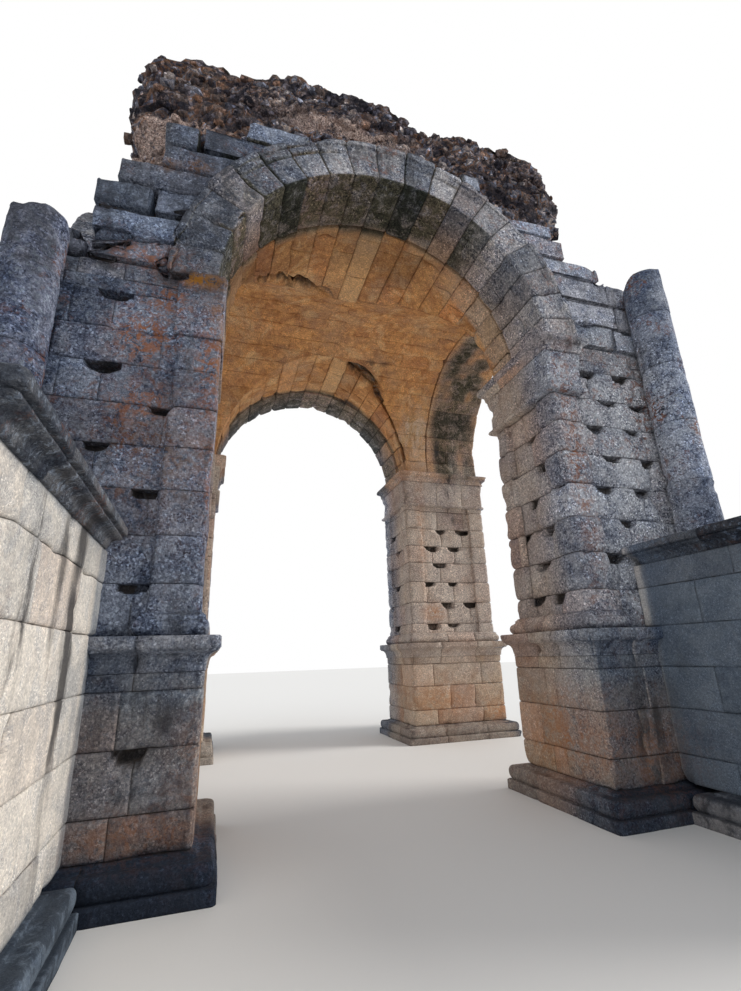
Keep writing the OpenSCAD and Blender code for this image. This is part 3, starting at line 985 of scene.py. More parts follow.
@dataclass
class Graph:
    """Node tree of a material, with one method for each kind of step.

    Args:
        name: name of the material.
    """
    name: str

    def __post_init__(self) -> None:
        """Makes the material with its shader and its coordinates."""
        self.material = bpy.data.materials.new(self.name)
        self.material.use_nodes = True
        self.tree = self.material.node_tree
        self.tree.nodes.clear()
        self.shader = self.tree.nodes.new("ShaderNodeBsdfPrincipled")
        output = self.tree.nodes.new("ShaderNodeOutputMaterial")
        self.tree.links.new(self.shader.outputs["BSDF"], output.inputs["Surface"])
        self.place = self.node("TexCoord", {}, "Object")

    def feed(self, socket: bpy.types.NodeSocket, value: Source) -> None:
        """Links a socket to a value, or sets it to a number or a colour.

        Args:
            socket: the input.
            value: what it takes.
        """
        if isinstance(value, Value):
            self.tree.links.new(value.socket, socket)
        else:
            socket.default_value = (*value, 1.0) if socket.type == "RGBA" else value

    def node(self, kind: str, inputs: dict[int | str, Source], output: int | str = 0,
             **settings: str | bool) -> Value:
        """Adds a node.

        Args:
            kind: its type, after the word that all shader nodes start with.
            inputs: what its inputs take, by number or by name.
            output: the output that is used, by number or by name.
            settings: its settings.

        Returns:
            What it puts out.
        """
        node = self.tree.nodes.new("ShaderNode" + kind)
        for name, setting in settings.items():
            setattr(node, name, setting)
        for key, value in inputs.items():
            self.feed(node.inputs[key], value)
        return Value(self, node.outputs[output])

    def math(self, kind: str, a: Source, b: Source) -> Value:
        """Result of one sum on two numbers."""
        return self.node("Math", {0: a, 1: b}, operation=kind)

    def split(self, attribute: str) -> list[Value]:
        """Three numbers stored at the points under one name."""
        vector = self.node("Attribute", {}, "Vector", attribute_name=attribute)
        return [Value(self, part) for part in self.node("SeparateXYZ", {0: vector}).socket.node.outputs]

    def stretched(self, scale: tuple[float, float, float]) -> Value:
        """Coordinates drawn out along an axis."""
        return self.node("Mapping", {"Vector": self.place, "Scale": scale})

    def shaken(self, scale: float, reach: float) -> Value:
        """Coordinates shifted at random by up to a reach, so that cells lose their straight edges."""
        inputs = {0: self.noise(scale, 3.0, 0.5, output="Color"), 1: (2 * reach,) * 3, 2: self.place}
        return self.node("VectorMath", inputs, operation="MULTIPLY_ADD")

    def noise(self, scale: float, detail: float = 4, rough: float = 0.6, at: Value | None = None,
              bent: float = 0, output: str = "Fac") -> Value:
        """Cloudy noise: waves to the metre, number and strength of finer sizes, and how far they bend."""
        inputs = {"Vector": at or self.place, "Scale": scale, "Detail": detail, "Roughness": rough}
        return self.node("TexNoise", {**inputs, "Distortion": bent}, output)

    def grains(self, scale: float, output: str = "Color", at: Value | None = None) -> Value:
        """Cells of a given number to the metre: their random colour or their distance."""
        return self.node("TexVoronoi", {"Vector": at or self.place, "Scale": scale}, output)

    def band(self, value: Value, low: float, high: float, to_low: float = 0.0, to_high: float = 1.0) -> Value:
        """Smooth step of a number from one range to another."""
        numbers = dict(enumerate((value, low, high, to_low, to_high)))
        return self.node("MapRange", numbers, interpolation_type="SMOOTHSTEP")

    def steps(self, value: Value, stops: Sequence[tuple[float, Colour]]) -> Value:
        """Colour picked by a number from a row of flat steps.

        Args:
            value: the number.
            stops: where each step starts, and its colour.

        Returns:
            The colour.
        """
        picked = self.node("ValToRGB", {0: value})
        scale = picked.socket.node.color_ramp
        scale.interpolation = "CONSTANT"
        while len(scale.elements) < len(stops):
            scale.elements.new(0.5)
        for element, (place, colour) in zip(scale.elements, stops):
            element.position, element.color = place, (*colour, 1.0)
        return picked

    def mix(self, weight: Source, a: Source, b: Source, kind: str = "MIX") -> Value:
        """Colour between two colours, by a weight from 0 to 1."""
        settings = {"data_type": "RGBA", "blend_type": kind, "clamp_factor": True}
        return self.node("Mix", {0: weight, 6: a, 7: b}, 2, **settings)

    def tint(self, weight: Source, base: Value, colour: Source) -> Value:
        """Colour multiplied by another where a weight is high."""
        return self.mix(weight, base, self.mix(1.0, base, colour, "MULTIPLY"))

    def relief(self, height: Value, depth: float, strength: float) -> None:
        """Bends the shading by a height that is given in parts of a depth in metres."""
        bump = self.node("Bump", {"Strength": strength, "Distance": depth, "Height": height})
        self.feed(self.shader.inputs["Normal"], bump)

    def coat(self, colour: Source, roughness: float, gloss: float) -> bpy.types.Material:
        """Gives the shader its colour, its roughness and its gloss.

        Args:
            colour: the colour.
            roughness: the roughness.
            gloss: level of the specular reflection.

        Returns:
            The material.
        """
        for name, value in (("Base Color", colour), ("Roughness", roughness), ("Specular IOR Level", gloss)):
            self.feed(self.shader.inputs[name], value)
        return self.material


@dataclass(frozen=True)
class Granite:
    """Weathered granite ashlar.

    Args:
        name: name of the finish.
        dark: colour of the darkest stones.
        light: colour of the lightest stones.
        ochre: colour inside the passages.
        earth: its darker patches.
        straw: its paler streaks.
        crust: how much black crust there is.
        lichen: how much lichen there is.
        speckle: how strongly the crystals show.
        grain: crystals to the metre.
        relief: depth of the pits, in metres.
    """
    name: str
    dark: Colour = (0.150, 0.155, 0.185)
    light: Colour = (0.400, 0.395, 0.420)
    ochre: Colour = (0.540, 0.430, 0.335)
    earth: Colour = (0.420, 0.300, 0.210)
    straw: Colour = (0.680, 0.575, 0.455)
    crust: float = 1.0
    lichen: float = 1.0
    speckle: float = 0.85
    grain: float = 42.0
    relief: float = 0.014

    def make(self) -> bpy.types.Material:
        """Builds the node tree.

        Colour runs from the stone's own tone through cloudy mottling, the ochre of
        the passages, the crystals, crusts and lichens, painted blue shade, black streaks
        with painted shadow and pale bleaching with painted light, to the dark of the
        joints, with painted shade in the holes and breaks.

        Returns:
            The material.
        """
        g = Graph(self.name)
        tone, hue, deep = g.split("stone")
        warm, crust_and_shade, lichen = g.split("weather")
        gold, rust, pale = g.split("patch")
        # moss, painted blue shade, and black streaks with painted shadow less painted light
        moss, shade, soot_and_painted_light = g.split("damp")
        broad, cloud = g.noise(1.3, 5, 0.62), g.noise(6.5, 6, 0.68, bent=0.4)
        blotch, spots = g.noise(3.3, 5, 0.70, bent=0.5), g.noise(18, 5, 0.72, bent=0.3)
        fine, speck = g.noise(46, 4, 0.75), g.noise(110, 2, 0.6)
        flecks = g.noise(11, 6, 0.8, bent=0.8)
        streak = g.noise(1.0, 6, 0.7, g.stretched((6.0, 6.0, 1.1)))

        body = g.mix(g.band(tone * 0.36 + cloud * 0.75 + blotch * 0.5, 0.52, 1.04), self.dark, self.light)
        body = g.tint(g.band(hue, 0.45, 1.0, 0, 0.3 + 0.4 * self.speckle), body, (1.16, 0.96, 0.84))
        body = g.tint(g.band(blotch, 0.53, 0.42, 0, 0.6 * self.speckle), body, (0.80, 0.91, 1.08))
        body = g.tint(g.band(broad, 0.40, 0.62), body, (1.20, 1.18, 1.16))

        # Ochre of the passages
        ochre = g.mix(g.band(cloud, 0.40, 0.60), self.ochre, self.earth)
        ochre = g.mix(g.band(g.noise(1.5, 6, 0.75, bent=1.2), 0.50, 0.62, 0, 0.65), ochre, self.straw)
        dull = g.band(g.noise(0.9, 5, 0.65, bent=1.5), 0.50, 0.40, 0, 0.42)
        ochre = g.tint(dull, ochre, (0.68, 0.58, 0.52))
        ochre = g.tint(g.band(tone, 0.45, 1.0, 0, 0.8), ochre, (0.60, 0.55, 0.54))
        ochre = g.mix(g.band(tone, 0.30, 0.05, 0, 0.7), ochre, self.straw)
        ochre = g.tint(g.band(hue, 0.55, 0.95, 0, 0.8), ochre, (1.08, 0.91, 0.88))
        body = g.mix(warm * g.band(broad, 0.36, 0.58, 0.78, 1.0), body, ochre)

        # Pale crust, green moss, and pale bleaching with painted light
        chalk = g.mix(warm, (0.44, 0.40, 0.37), (0.50, 0.32, 0.16))
        chalk = g.mix(g.band(streak, 0.42, 0.58), chalk, (0.70, 0.60, 0.47))
        body = g.mix(pale * g.band(cloud, 0.3, 0.6, 0.6, 0.95), body, chalk)
        green = g.band(cloud * 0.5 + tone * 0.5, 0.30, 0.72)
        green = g.mix(green, (0.026, 0.029, 0.019), (0.150, 0.132, 0.078))
        brown = g.band(tone, 0.55, 0.85) * g.band(cloud, 0.42, 0.58, 0.2, 1)
        green = g.mix(brown, green, (0.230, 0.140, 0.085))
        body = g.mix(moss * g.band(cloud, 0.64, 0.46, 0.6, 0.97), body, green)
        bleached_and_lit = g.mix(warm, (0.66, 0.67, 0.70), (0.72, 0.61, 0.50))
        body = g.mix(g.band(soot_and_painted_light, 0.0, -1.0, 0, 0.80), body, bleached_and_lit)

        # Crystals of two sizes
        crystals = g.band(warm, 0.2, 0.9, 1.0, 0.45) * g.band(blotch, 0.42, 0.58, 1.15, 0.60) * self.speckle
        coarse = g.steps(g.grains(self.grain, at=g.shaken(70, 0.008)), (
            (0, (0.24, 0.24, 0.29)), (0.20, (0.54, 0.56, 0.61)), (0.42, (0.94, 0.94, 0.96)),
            (0.64, (1.32, 1.31, 1.27)), (0.82, (2.15, 2.13, 2.08))))
        small = g.steps(g.grains(2.3 * self.grain), (
            (0, (0.36, 0.36, 0.40)), (0.22, (0.78, 0.78, 0.80)), (0.5, (1.0, 1.0, 1.0)),
            (0.70, (1.30, 1.27, 1.24)), (0.88, (2.0, 1.95, 1.9))))
        body = g.tint(crystals * 0.75, g.tint(crystals, body, coarse), small)
        body = g.tint(g.band(fine, 0.53, 0.60, 0, 0.60 * self.speckle), body, (1.8, 1.8, 1.8))
        body = g.tint(g.band(fine, 0.47, 0.40, 0, 0.75 * self.speckle), body, (0.38, 0.38, 0.44))

        # Grey, black and red lichen, and dark crust
        growth = lichen * self.lichen
        grey = g.mix(g.band(fine, 0.42, 0.58), (0.30, 0.34, 0.40), (0.66, 0.70, 0.74))
        body = g.mix(g.band(spots, 0.53, 0.585) * growth * g.band(cloud, 0.44, 0.56, 0.15, 0.85), body, grey)
        black = g.band(spots, 0.46, 0.405) * growth * g.band(cloud, 0.56, 0.44, 0.2, 0.8)
        body = g.mix(black, body, (0.055, 0.057, 0.072))
        red = g.band(flecks, 0.52, 0.57) * growth * g.band(g.noise(2.1, 4, 0.6), 0.50, 0.60, 0, 0.85)
        body = g.mix(red, body, (0.26, 0.105, 0.060))
        crust = streak * 0.3 + cloud * 0.5 + (crust_and_shade * 0.20 + (fine + spots) * 0.1)
        crust = g.band(crust, 0.56, 0.70) * self.crust * g.band(crust_and_shade, 0.05, 0.5) * 0.75
        body = g.mix(crust, body, (0.040, 0.042, 0.050))

        # Painted blue shade, gold lichen, rust, black streaks with painted shadow, and the dirt in the joints
        # with painted shade in the holes and breaks
        body = g.tint(shade, body, (0.182, 0.262, 0.385))
        body = g.mix(gold * g.band(spots, 0.42, 0.52, 0.08, 1), body, (0.26, 0.112, 0.016))
        dotted = g.math("MAXIMUM", g.band(flecks, 0.47, 0.54), warm * g.band(cloud, 0.42, 0.56, 0.1, 1))
        body = g.mix(rust * dotted, body, g.mix(warm, (0.30, 0.112, 0.045), (0.50, 0.210, 0.072)))
        sooty_and_shadowed = g.band(soot_and_painted_light, 0.05, 0.6) * g.band(streak + soot_and_painted_light * 0.25, 0.48, 0.66, 0, 0.9)
        body = g.mix(sooty_and_shadowed, body, (0.042, 0.040, 0.042))
        soil_and_hole_shade = g.mix(g.band(cloud, 0.4, 0.6), (0.014, 0.012, 0.012), (0.050, 0.038, 0.030))
        seam = deep * g.band(blotch, 0.38, 0.58, 0.40, 1.0)
        body = g.mix(g.band(seam, 0.10, 0.85, 0, 0.88), body, soil_and_hole_shade)
        g.relief(spots * 1.3 + fine * 0.8 + speck * 0.30, self.relief, 0.9)
        return g.coat(body, 0.94, 0.18)


@dataclass(frozen=True)
class Rubble:
    """Field stones bedded in old lime mortar.

    Args:
        name: name of the finish.
    """
    name: str

    def make(self) -> bpy.types.Material:
        """Builds the node tree.

        Each stone has its own colour, the mortar between them is pinkish white
        where it is fresh and brown where it is washed out.

        Returns:
            The material.
        """
        g = Graph(self.name)
        tone, _, deep = g.split("stone")
        _, crust_and_shade, _ = g.split("weather")
        gold, _, pale = g.split("patch")
        _, _, soot_and_painted_light = g.split("damp")
        broad, cloud = g.noise(0.9, 5, 0.6), g.noise(5, 6, 0.7, bent=0.5)
        spots, fine = g.noise(17, 5, 0.75, bent=0.5), g.noise(46, 4, 0.75)

        stones = g.steps(tone, (
            (0, (0.055, 0.054, 0.070)), (0.24, (0.115, 0.105, 0.120)), (0.44, (0.185, 0.150, 0.140)),
            (0.60, (0.270, 0.170, 0.125)), (0.72, (0.230, 0.245, 0.300)), (0.88, (0.50, 0.45, 0.43))))
        chips = g.steps(g.grains(22, at=g.shaken(40, 0.012)), (
            (0, (0.28, 0.28, 0.34)), (0.30, (0.75, 0.73, 0.75)), (0.56, (1.25, 1.1, 1.0)),
            (0.76, (2.3, 2.3, 2.4)), (0.90, (3.9, 3.9, 4.0))))
        body = g.tint(0.75, stones, chips)
        fresh = pale * g.band(cloud + spots * 0.5, 0.56, 0.78)
        bare = g.band(broad, 0.52, 0.66) * g.band(spots, 0.5, 0.62, 0, 0.6)
        mortar = g.mix(g.band(fine, 0.40, 0.60), (0.42, 0.28, 0.235), (0.72, 0.58, 0.52))
        body = g.mix(g.band(fresh + bare, 0.12, 0.55, 0, 0.9), body, mortar)
        body = g.mix(g.band(deep, 0.30, 1.0, 0, 0.80), body, (0.030, 0.024, 0.024))

        body = g.tint(g.band(fine, 0.53, 0.61, 0, 0.7), body, (1.9, 1.8, 1.75))
        body = g.tint(g.band(fine, 0.47, 0.39, 0, 0.75), body, (0.33, 0.31, 0.34))
        body = g.tint(g.band(g.noise(1.7, 5, 0.65), 0.52, 0.62, 0, 0.6), body, (0.36, 0.36, 0.46))
        rust = g.band(g.noise(9, 6, 0.75, bent=0.6), 0.53, 0.60)
        body = g.mix(rust * g.band(g.noise(0.7, 2), 0.45, 0.60, 0, 0.35), body, (0.30, 0.130, 0.050))
        body = g.mix(gold * g.band(spots, 0.50, 0.58), body, (0.34, 0.145, 0.045))
        # black streaks darkened blue, with painted shadow under the core's overhang
        body = g.tint(g.band(soot_and_painted_light, 0.1, 0.8, 0, 0.85), body, (0.20, 0.21, 0.27))
        earth = g.mix(g.band(fine, 0.42, 0.58), (0.075, 0.058, 0.046), (0.200, 0.160, 0.120))
        body = g.mix(g.band(crust_and_shade, 0.6, 1.0) * g.band(cloud, 0.40, 0.60, 0.30, 0.75), body, earth)
        g.relief(spots * 1.2 + fine * 0.8 + g.grains(15, "Distance") * -1.6, 0.045, 1.0)
        return g.coat(body, 0.95, 0.15)


# The arch's own sub-assemblies


@dataclass
class Yard:
    """Finishes of the arch, and the way each piece is handed over.

    Args:
        finishes: material of each slot of the record.
    """
    finishes: dict[str, bpy.types.Material] = field(default_factory=dict)

    def stand(self, shell: Shell, node: str, slot: str) -> None:
        """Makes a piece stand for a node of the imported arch.

        Args:
            shell: the piece's surfaces.
            node: the node it replaces.
            slot: the record's slot that it takes its finish from.
        """
        item = shell.object()
        item.data.materials.append(self.finishes[slot])
        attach(item, "root")
        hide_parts(node)
        LOG.info("%s: %d faces", item.name, len(item.data.polygons))


def arc(x: float, reach: float, z: float, rise: float, angles: Sequence[int]) -> list[tuple[float, float]]:
    """Part of an ellipse in a profile: its middle, its half axes and its angles in degrees."""
    turns = [math.radians(angle) for angle in angles]
    return [(x + reach * math.cos(turn), z + rise * math.sin(turn)) for turn in turns]


def base_profile(out: float, foot: float) -> Pairs:
    """Plinth, half-round and fillet of a base, as stand-out and height.

    Args:
        out: stand-out of the plinth.
        foot: stand-out of the face over the base.

    Returns:
        The corners, from the foot up.
    """
    plinth, top = 0.11, BODY.base_top
    r = (top - 0.04 - plinth) / 2
    return [(out, 0), (out, plinth - 0.012), (out - 0.012, plinth), (out - 0.022, plinth),
            *arc(out - 0.062, 0.04, plinth + r, r, range(-80, 81, 20)),
            (foot + 0.03, top - 0.04), (foot + 0.03, top - 0.022), (foot, top - 0.012), (foot, top)]


def cap_profile(foot: float, out: float, z0: float, z1: float) -> Pairs:
    """Fillet, hollow and fascia of a cap, as stand-out and height.

    Args:
        foot: stand-out of the face under the cap.
        out: stand-out of the fascia.
        z0: foot of the cap.
        z1: its top.

    Returns:
        The corners, from the foot up.
    """
    h, reach = z1 - z0, out - foot - 0.05
    hollow = arc(foot + 0.024 + reach, -reach, z0 + 0.16 * h, 0.40 * h, range(0, 91, 15))
    return [(foot, z0), (foot + 0.02, z0 + 0.004), (foot + 0.02, z0 + 0.12 * h), *hollow,
            (out - 0.016, z0 + 0.58 * h), (out - 0.016, z0 + 0.62 * h), (out, z0 + 0.65 * h),
            (out, z1 - 0.012), (out - 0.012, z1)]


def cornice_profile(out: float) -> Pairs:
    """Hollow, half-round and fascia of the pedestal's cornice.

    Args:
        out: stand-out of the fascia.

    Returns:
        Stand-out and height of the corners, from the foot up.
    """
    z0, z1 = BODY.pedestal_top, BODY.cornice_top
    h = z1 - z0
    upper = ((0.098, 0.46), (0.116, 0.48), (0.116, 0.56), (0.104, 0.58), (0.104, 0.61), (out, 0.64))
    return [(0, z0), (0.022, z0 + 0.004), (0.022, z0 + 0.10 * h),
            *arc(0.096, -0.066, z0 + 0.12 * h, 0.30 * h, range(0, 91, 15)),
            *((x, z0 + part * h) for x, part in upper), (out, z1 - 0.014), (out - 0.014, z1)]


def foot_profile() -> Pairs:
    """Half-round and fillets at the foot of the pilasters, as stand-out and height.

    Returns:
        Stand-out and height of each row, upwards.
    """
    z, h = BODY.cap_top, 0.2
    return [(0.06, z), *arc(0.04, 0.03, z + 0.36 * h, 0.3 * h, range(-60, 61, 20)),
            (0.034, z + 0.145), (0.034, z + 0.17), (0.004, z + h), (-0.05, z + h + 0.002)]


def capital_profile() -> Pairs:
    """Half-round, neck and flare of the pilasters' capitals, as stand-out and height.

    Returns:
        Stand-out and height of each row, upwards.
    """
    z = BODY.capital_z
    return [(-0.05, z - 0.002), (0.0, z), *arc(0.02, 0.045, z + 0.035, 0.034, range(-90, 91, 22)),
            (0.012, z + 0.072), (0.012, 5.30), (0.03, 5.41), (0.04, BODY.impost_z)]


def inward(profile: Pairs, out: float) -> Array:
    """Rows of a profile whose outline is drawn at its farthest reach."""
    return profile_rows([(o - out, z) for o, z in profile])


def rectangle(x0: float, x1: float, y0: float, y1: float) -> Pairs:
    """Corners of a rectangle, run round anticlockwise."""
    return [(x0, y0), (x1, y0), (x1, y1), (x0, y1)]


Places = dict[float, tuple[float, ...]]


@dataclass
class Pier:
    """One pier with its podium, pedestal, column and haunch.

    Args:
        quarter: where it stands.
        pedestal_end: end of the pedestal, from the body's middle.
        column_top: height of the column's broken top.
        steps: broken top beside the main arch, as parts of half the width and of
            the main arch's outer radius over the springing.
        clamps: holes on the front or rear face for each bed, as distances from
            the middle of the passage.
        jambs: the same on the passage face, as distances from the body's middle.
        flanks: the same on the face to the side passage.
        proud: how much is left of the capital and the impost.
        wear: wear of the shaft.
        beds: heights of the beds of the shaft.
        pedestal_in: inner face of the pedestal.
        column: middle in plan and radius of the column.
        pilaster: width of the pilaster beside the main passage.
        corner: width of the other pilasters.
    """
    quarter: Quarter
    pedestal_end: float
    column_top: float
    steps: Pairs
    clamps: Places = field(default_factory=dict)
    jambs: Places = field(default_factory=dict)
    flanks: Places = field(default_factory=dict)
    proud: float = 1.0
    wear: Wear = Wear(joint=0.020, open=0.012)
    beds: tuple[float, ...] = (1.89, 2.34, 2.775, 3.21, 3.64, 4.07, 4.50, 4.90, 5.34, 5.49)
    pedestal_in: float = 2.87
    column: tuple[float, float, float] = (3.82, 3.55, 0.30)
    pilaster: float = 0.51
    corner: float = 0.43

    @property
    def grid(self) -> float:
        """Spacing of the lines, finer at the front than at the rear."""
        return 0.068 if self.quarter.value[1] < 0 else 0.120

    def chance(self, number: int) -> float:
        """Random number from 0 to 1 that is this pier's own."""
        return float(scatter(np.array([self.quarter.seed, number, 9]), 17))

    def lay(self, shell: Shell, outline: Outline, rows: Array, key: int, heads: Pairs = (),
            **dress: object) -> None:
        """Adds a course at this pier, with random stones of the pier's own."""
        course(shell, outline, rows, self.quarter.place, self.quarter.seed + key, heads, **dress)

    def block_plan(self, out: float) -> Outline:
        """Plan of the whole pier, standing out from the shaft."""
        b, grid = BODY, self.grid
        return Outline(rectangle(b.passage - out, b.half_w + out, b.side - out, b.half_d + out), step=grid)

    def long_plan(self, near: float, out: float) -> Outline:
        """Plan of the pedestal from a near end inside the pier, standing out from its face."""
        x0, x1 = self.pedestal_in - out, BODY.half_w + BODY.podium + out
        return Outline(rectangle(x0, x1, near, self.pedestal_end + out), (0,), self.grid)

    def long_heads(self, out: float, sides: Sequence[float]) -> Pairs:
        """Upright joints of the pedestal's mouldings: two on each side and one at the end."""
        x0, x1, end = self.pedestal_in - out, BODY.half_w + BODY.podium + out, self.pedestal_end + out
        return [(x, y) for x, y in zip((x0, x0, x1, x1, 3.5), (*sides, end))]

    def ell(self, out: float) -> Outline:
        """Plan that the pilasters' mouldings follow, along both passages.

        Args:
            out: how far the moulding stands out.

        Returns:
            The plan.
        """
        b, x, y = BODY, BODY.passage + self.pilaster + out, BODY.side + self.corner + out
        return Outline([(b.passage - out, b.side - out), (b.half_w + out, b.side - out), (b.half_w + out, y),
                        (x, y), (x, b.half_d + out), (b.passage - out, b.half_d + out)], (2, 3), self.grid)

    def wall(self) -> Outline:
        """Plan of the shaft: pilasters at the corners, the walls set back.

        Returns:
            The plan.
        """
        b, p, r, s = BODY, self.pilaster, self.corner, BODY.recess
        x0, x1, y0, y1 = b.passage, b.half_w, b.side, b.half_d
        corners = ((x0, y0), (x0 + r, y0), (x0 + r, y0 + s), (x1 - r, y0 + s), (x1 - r, y0), (x1, y0),
                   (x1, y0 + r), (x1 - s, y0 + r), (x1 - s, y1 - r), (x1, y1 - r), (x1, y1 - s),
                   (x0 + p, y1 - s), (x0 + p, y1), (x0, y1), (x0, y1 - r), (x0 + s, y1 - r),
                   (x0 + s, y0 + r), (x0, y0 + r))
        return Outline(corners, step=self.grid)

    def holes(self, top: float, front: Sequence[float], jamb: Sequence[float],
              face: tuple[float, float], flank: Sequence[float] = ()) -> list[Notch]:
        """Clamp holes of one course.

        Args:
            top: bed that they hang from.
            front: their places along the front face.
            jamb: their places along the passage face.
            face: plane of the passage face and of the front face.
            flank: their places along the face to the side passage.

        Returns:
            The holes.
        """
        found = []
        spots = [(v, face[1]) for v in front] + [(face[0], v) for v in jamb]
        spots += [(v, BODY.side + BODY.recess) for v in flank]
        for number, spot in enumerate(spots):
            luck, turn = (self.chance(int(top * 100) + 31 * number + more) for more in (0, 7))
            found.append(Notch(spot, 0.20 + 0.12 * luck, 0.075 + 0.06 * turn, 0.13 + 0.06 * luck,
                               0.7 * (turn - 0.5)))
        return found

    def base(self, shell: Shell) -> None:
        """Base of the pier, one moulded course.

        Args:
            shell: takes the surfaces.
        """
        out = 0.25
        heads = ((2.75, 3.7), (3.8, 3.7), (1.7, 2.3), (1.7, 3.0), (2.6, 1.6), (3.5, 1.6), (4.3, 2.4),
                 (4.3, 3.1))
        self.lay(shell, self.block_plan(out), inward(base_profile(out, BODY.podium), out), 1, heads,
                 wear=Wear(edge=0.03, waves=0.014, rough=0.007, chips=0.04), beds=(False, True))

    def podium(self, shell: Shell) -> None:
        """Podium of the pier, up to the foot of its cap's moulding.

        Args:
            shell: takes the surfaces.
        """
        b, out = BODY, BODY.podium
        beds = (b.base_top, 0.59, 1.04, 1.465, b.dado_top)
        wear = Wear(joint=0.020, open=0.007, edge=0.035, waves=0.018, rough=0.009)
        for number, (low, high) in enumerate(zip(beds[:-1], beds[1:])):
            front = [2.52] if number == 1 and self.quarter is Quarter.FRONT_LEFT else []
            notches = self.holes(high, front, [], (b.passage - out, b.half_d + out))
            self.lay(shell, self.block_plan(out), plain_rows(low, high), 10 + number,
                     self.podium_heads(number), notches=notches, wear=wear, beds=(True, number < 3))

    def podium_heads(self, number: int) -> Pairs:
        """Upright joints of one of the podium's courses.

        Args:
            number: number of the course, from below.

        Returns:
            Points in plan where the joints stand.
        """
        shift = (0.1, -0.06, 0.12, 0.02)[number]
        return [(2.53 + shift * 0.8, 3.44), (3.5 - shift, 3.44), (1.98, 2.38 + shift),
                (1.98, 2.86 - 1.4 * shift), (2.7 - 2 * shift, 1.84), (3.45 + shift, 1.84),
                (4.1, 2.35 + 2 * shift), (4.1, 2.95)]

    def podium_cap(self, shell: Shell) -> None:
        """Moulded cap of the podium, worn hard at the front.

        Args:
            shell: takes the surfaces.
        """
        out, top = 0.19, BODY.cap_top
        wear = Wear(joint=0.045, open=0.016, waves=0.034, rough=0.016, chips=0.11, edge=0.06)
        if self.quarter.value[1] > 0:
            wear = Wear(waves=0.018, chips=0.07, edge=0.045)
        profile = [*cap_profile(BODY.podium, out, BODY.dado_top, top), (0.02, top)]
        self.lay(shell, self.block_plan(out), inward(profile, out), 13, self.podium_heads(3), wear=wear,
                 beds=(False, False))

    def shaft_heads(self, number: int, top: float) -> Pairs:
        """Upright joints of one of the shaft's courses, one at each of its clamp holes.

        Args:
            number: number of the course, from below.
            top: its upper bed.

        Returns:
            Points in plan.
        """
        odd = number % 2
        front = self.clamps.get(top) or (2.66 + 0.42 * odd,)
        jamb = self.jambs.get(top) or (2.60 + 0.24 * odd,)
        flank = self.flanks.get(top) or (2.85 + 0.3 * odd, 3.5 + 0.12 * odd)
        heads = [(x, 3.33) for x in front] + [(2.09, y) for y in jamb]
        if max(front) < 3.45:
            heads.append((3.62 - 0.1 * odd, 3.33))
        return heads + [(2.09, 2.2 + 0.1 * odd), *((x, 1.95) for x in flank),
                        (3.99, 2.35 + 0.25 * odd), (3.99, 2.9 + 0.12 * odd)]

    def scars(self, world: Array) -> Array:
        """Deep breaks in the wall: cavities high on the left, a gash on the right.

        A cavity is an ellipse with a rough rim, the gash a sloping band.

        Args:
            world: places in the arch.

        Returns:
            Depth at each place.
        """
        x, y, z = np.moveaxis(world - MIDDLE, -1, 0)
        depth = np.zeros(x.shape)
        front = ramp(-y, 3.2, 3.3)
        rough = waves(world, 0.2, 81, 2)
        if self.quarter is Quarter.FRONT_RIGHT:
            along, across = (x - 3.35) * 0.6 + (3.62 - z) * 0.8, (x - 3.35) * 0.8 - (3.62 - z) * 0.6
            hit = ramp(np.abs(across - 0.05) + 0.06 * rough, 0.11, 0.03)
            depth += 0.09 * (hit * ramp(along, -0.05, 0.1) * ramp(along, 0.62, 0.4)) * front
        if self.quarter is Quarter.FRONT_LEFT:
            for at_x, at_z, wide, high, ragged, inner, deep in (
                    (-2.62, 5.66, 0.16, 0.12, 0.5, 0.6, 0.10), (-3.30, 6.00, 0.28, 0.13, 0.4, 0.75, 0.34),
                    (-2.55, 6.50, 0.10, 0.07, 0.4, 0.7, 0.12)):
                away = np.hypot((x - at_x) / wide, (z - at_z) / high) + ragged * rough
                depth += deep * ramp(away, 1.0, inner) * front
        return depth

    def shaft(self, shell: Shell) -> None:
        """Shaft of the pier, with the feet and the capitals of its pilasters.

        Args:
            shell: takes the surfaces.
        """
        b, plan, last = BODY, self.wall(), len(self.beds) - 2
        for number, (low, high) in enumerate(zip(self.beds[:-1], self.beds[1:])):
            front = self.clamps.get(high, ())
            face = b.half_d if front and front[0] < 2.5 else b.half_d - b.recess
            notches = self.holes(high, front, self.jambs.get(high, ()), (b.passage + b.recess, face),
                                 self.flanks.get(high, ())) if number < last else []
            extra = [high - v for v in (0.025, 0.05, 0.075, 0.095, 0.115, 0.14)] if notches else []
            self.lay(shell, plan, plain_rows(low, high, extra=extra), 20 + number,
                     self.shaft_heads(number, high), notches=notches, wear=self.wear,
                     beds=(True, number < last), gash=self.scars)
        top = [(o * self.proud, z) for o, z in capital_profile()]
        wear = Wear(waves=0.014, rough=0.008, edge=0.03)
        for profile, key, number, open_foot in ((foot_profile(), 40, 0, True), (top, 41, 8, False)):
            reach = max(o for o, _ in profile)
            self.lay(shell, self.ell(reach), inward(profile, reach), key, self.shaft_heads(number, -1),
                     wear=wear, beds=(open_foot, False))

    def impost(self, shell: Shell) -> None:
        """Impost, moulded along both passages and plain behind the column.

        Args:
            shell: takes the surfaces.
        """
        b, out, heads = BODY, 0.15 * self.proud, self.shaft_heads(9, -1)
        plain = Outline(rectangle(b.passage, b.half_w, b.side, b.half_d - b.recess), step=self.grid)
        self.lay(shell, plain, plain_rows(b.impost_z, b.spring_z), 50, heads, beds=(False, True),
                 gash=self.scars)
        profile = [(o * self.proud, z) for o, z in cap_profile(0.045, 0.15, b.impost_z, b.spring_z)]
        self.lay(shell, self.ell(out), inward(profile, out), 50, heads, beds=(False, False),
                 wear=Wear(waves=0.024, chips=0.08, edge=0.05), gash=self.scars)

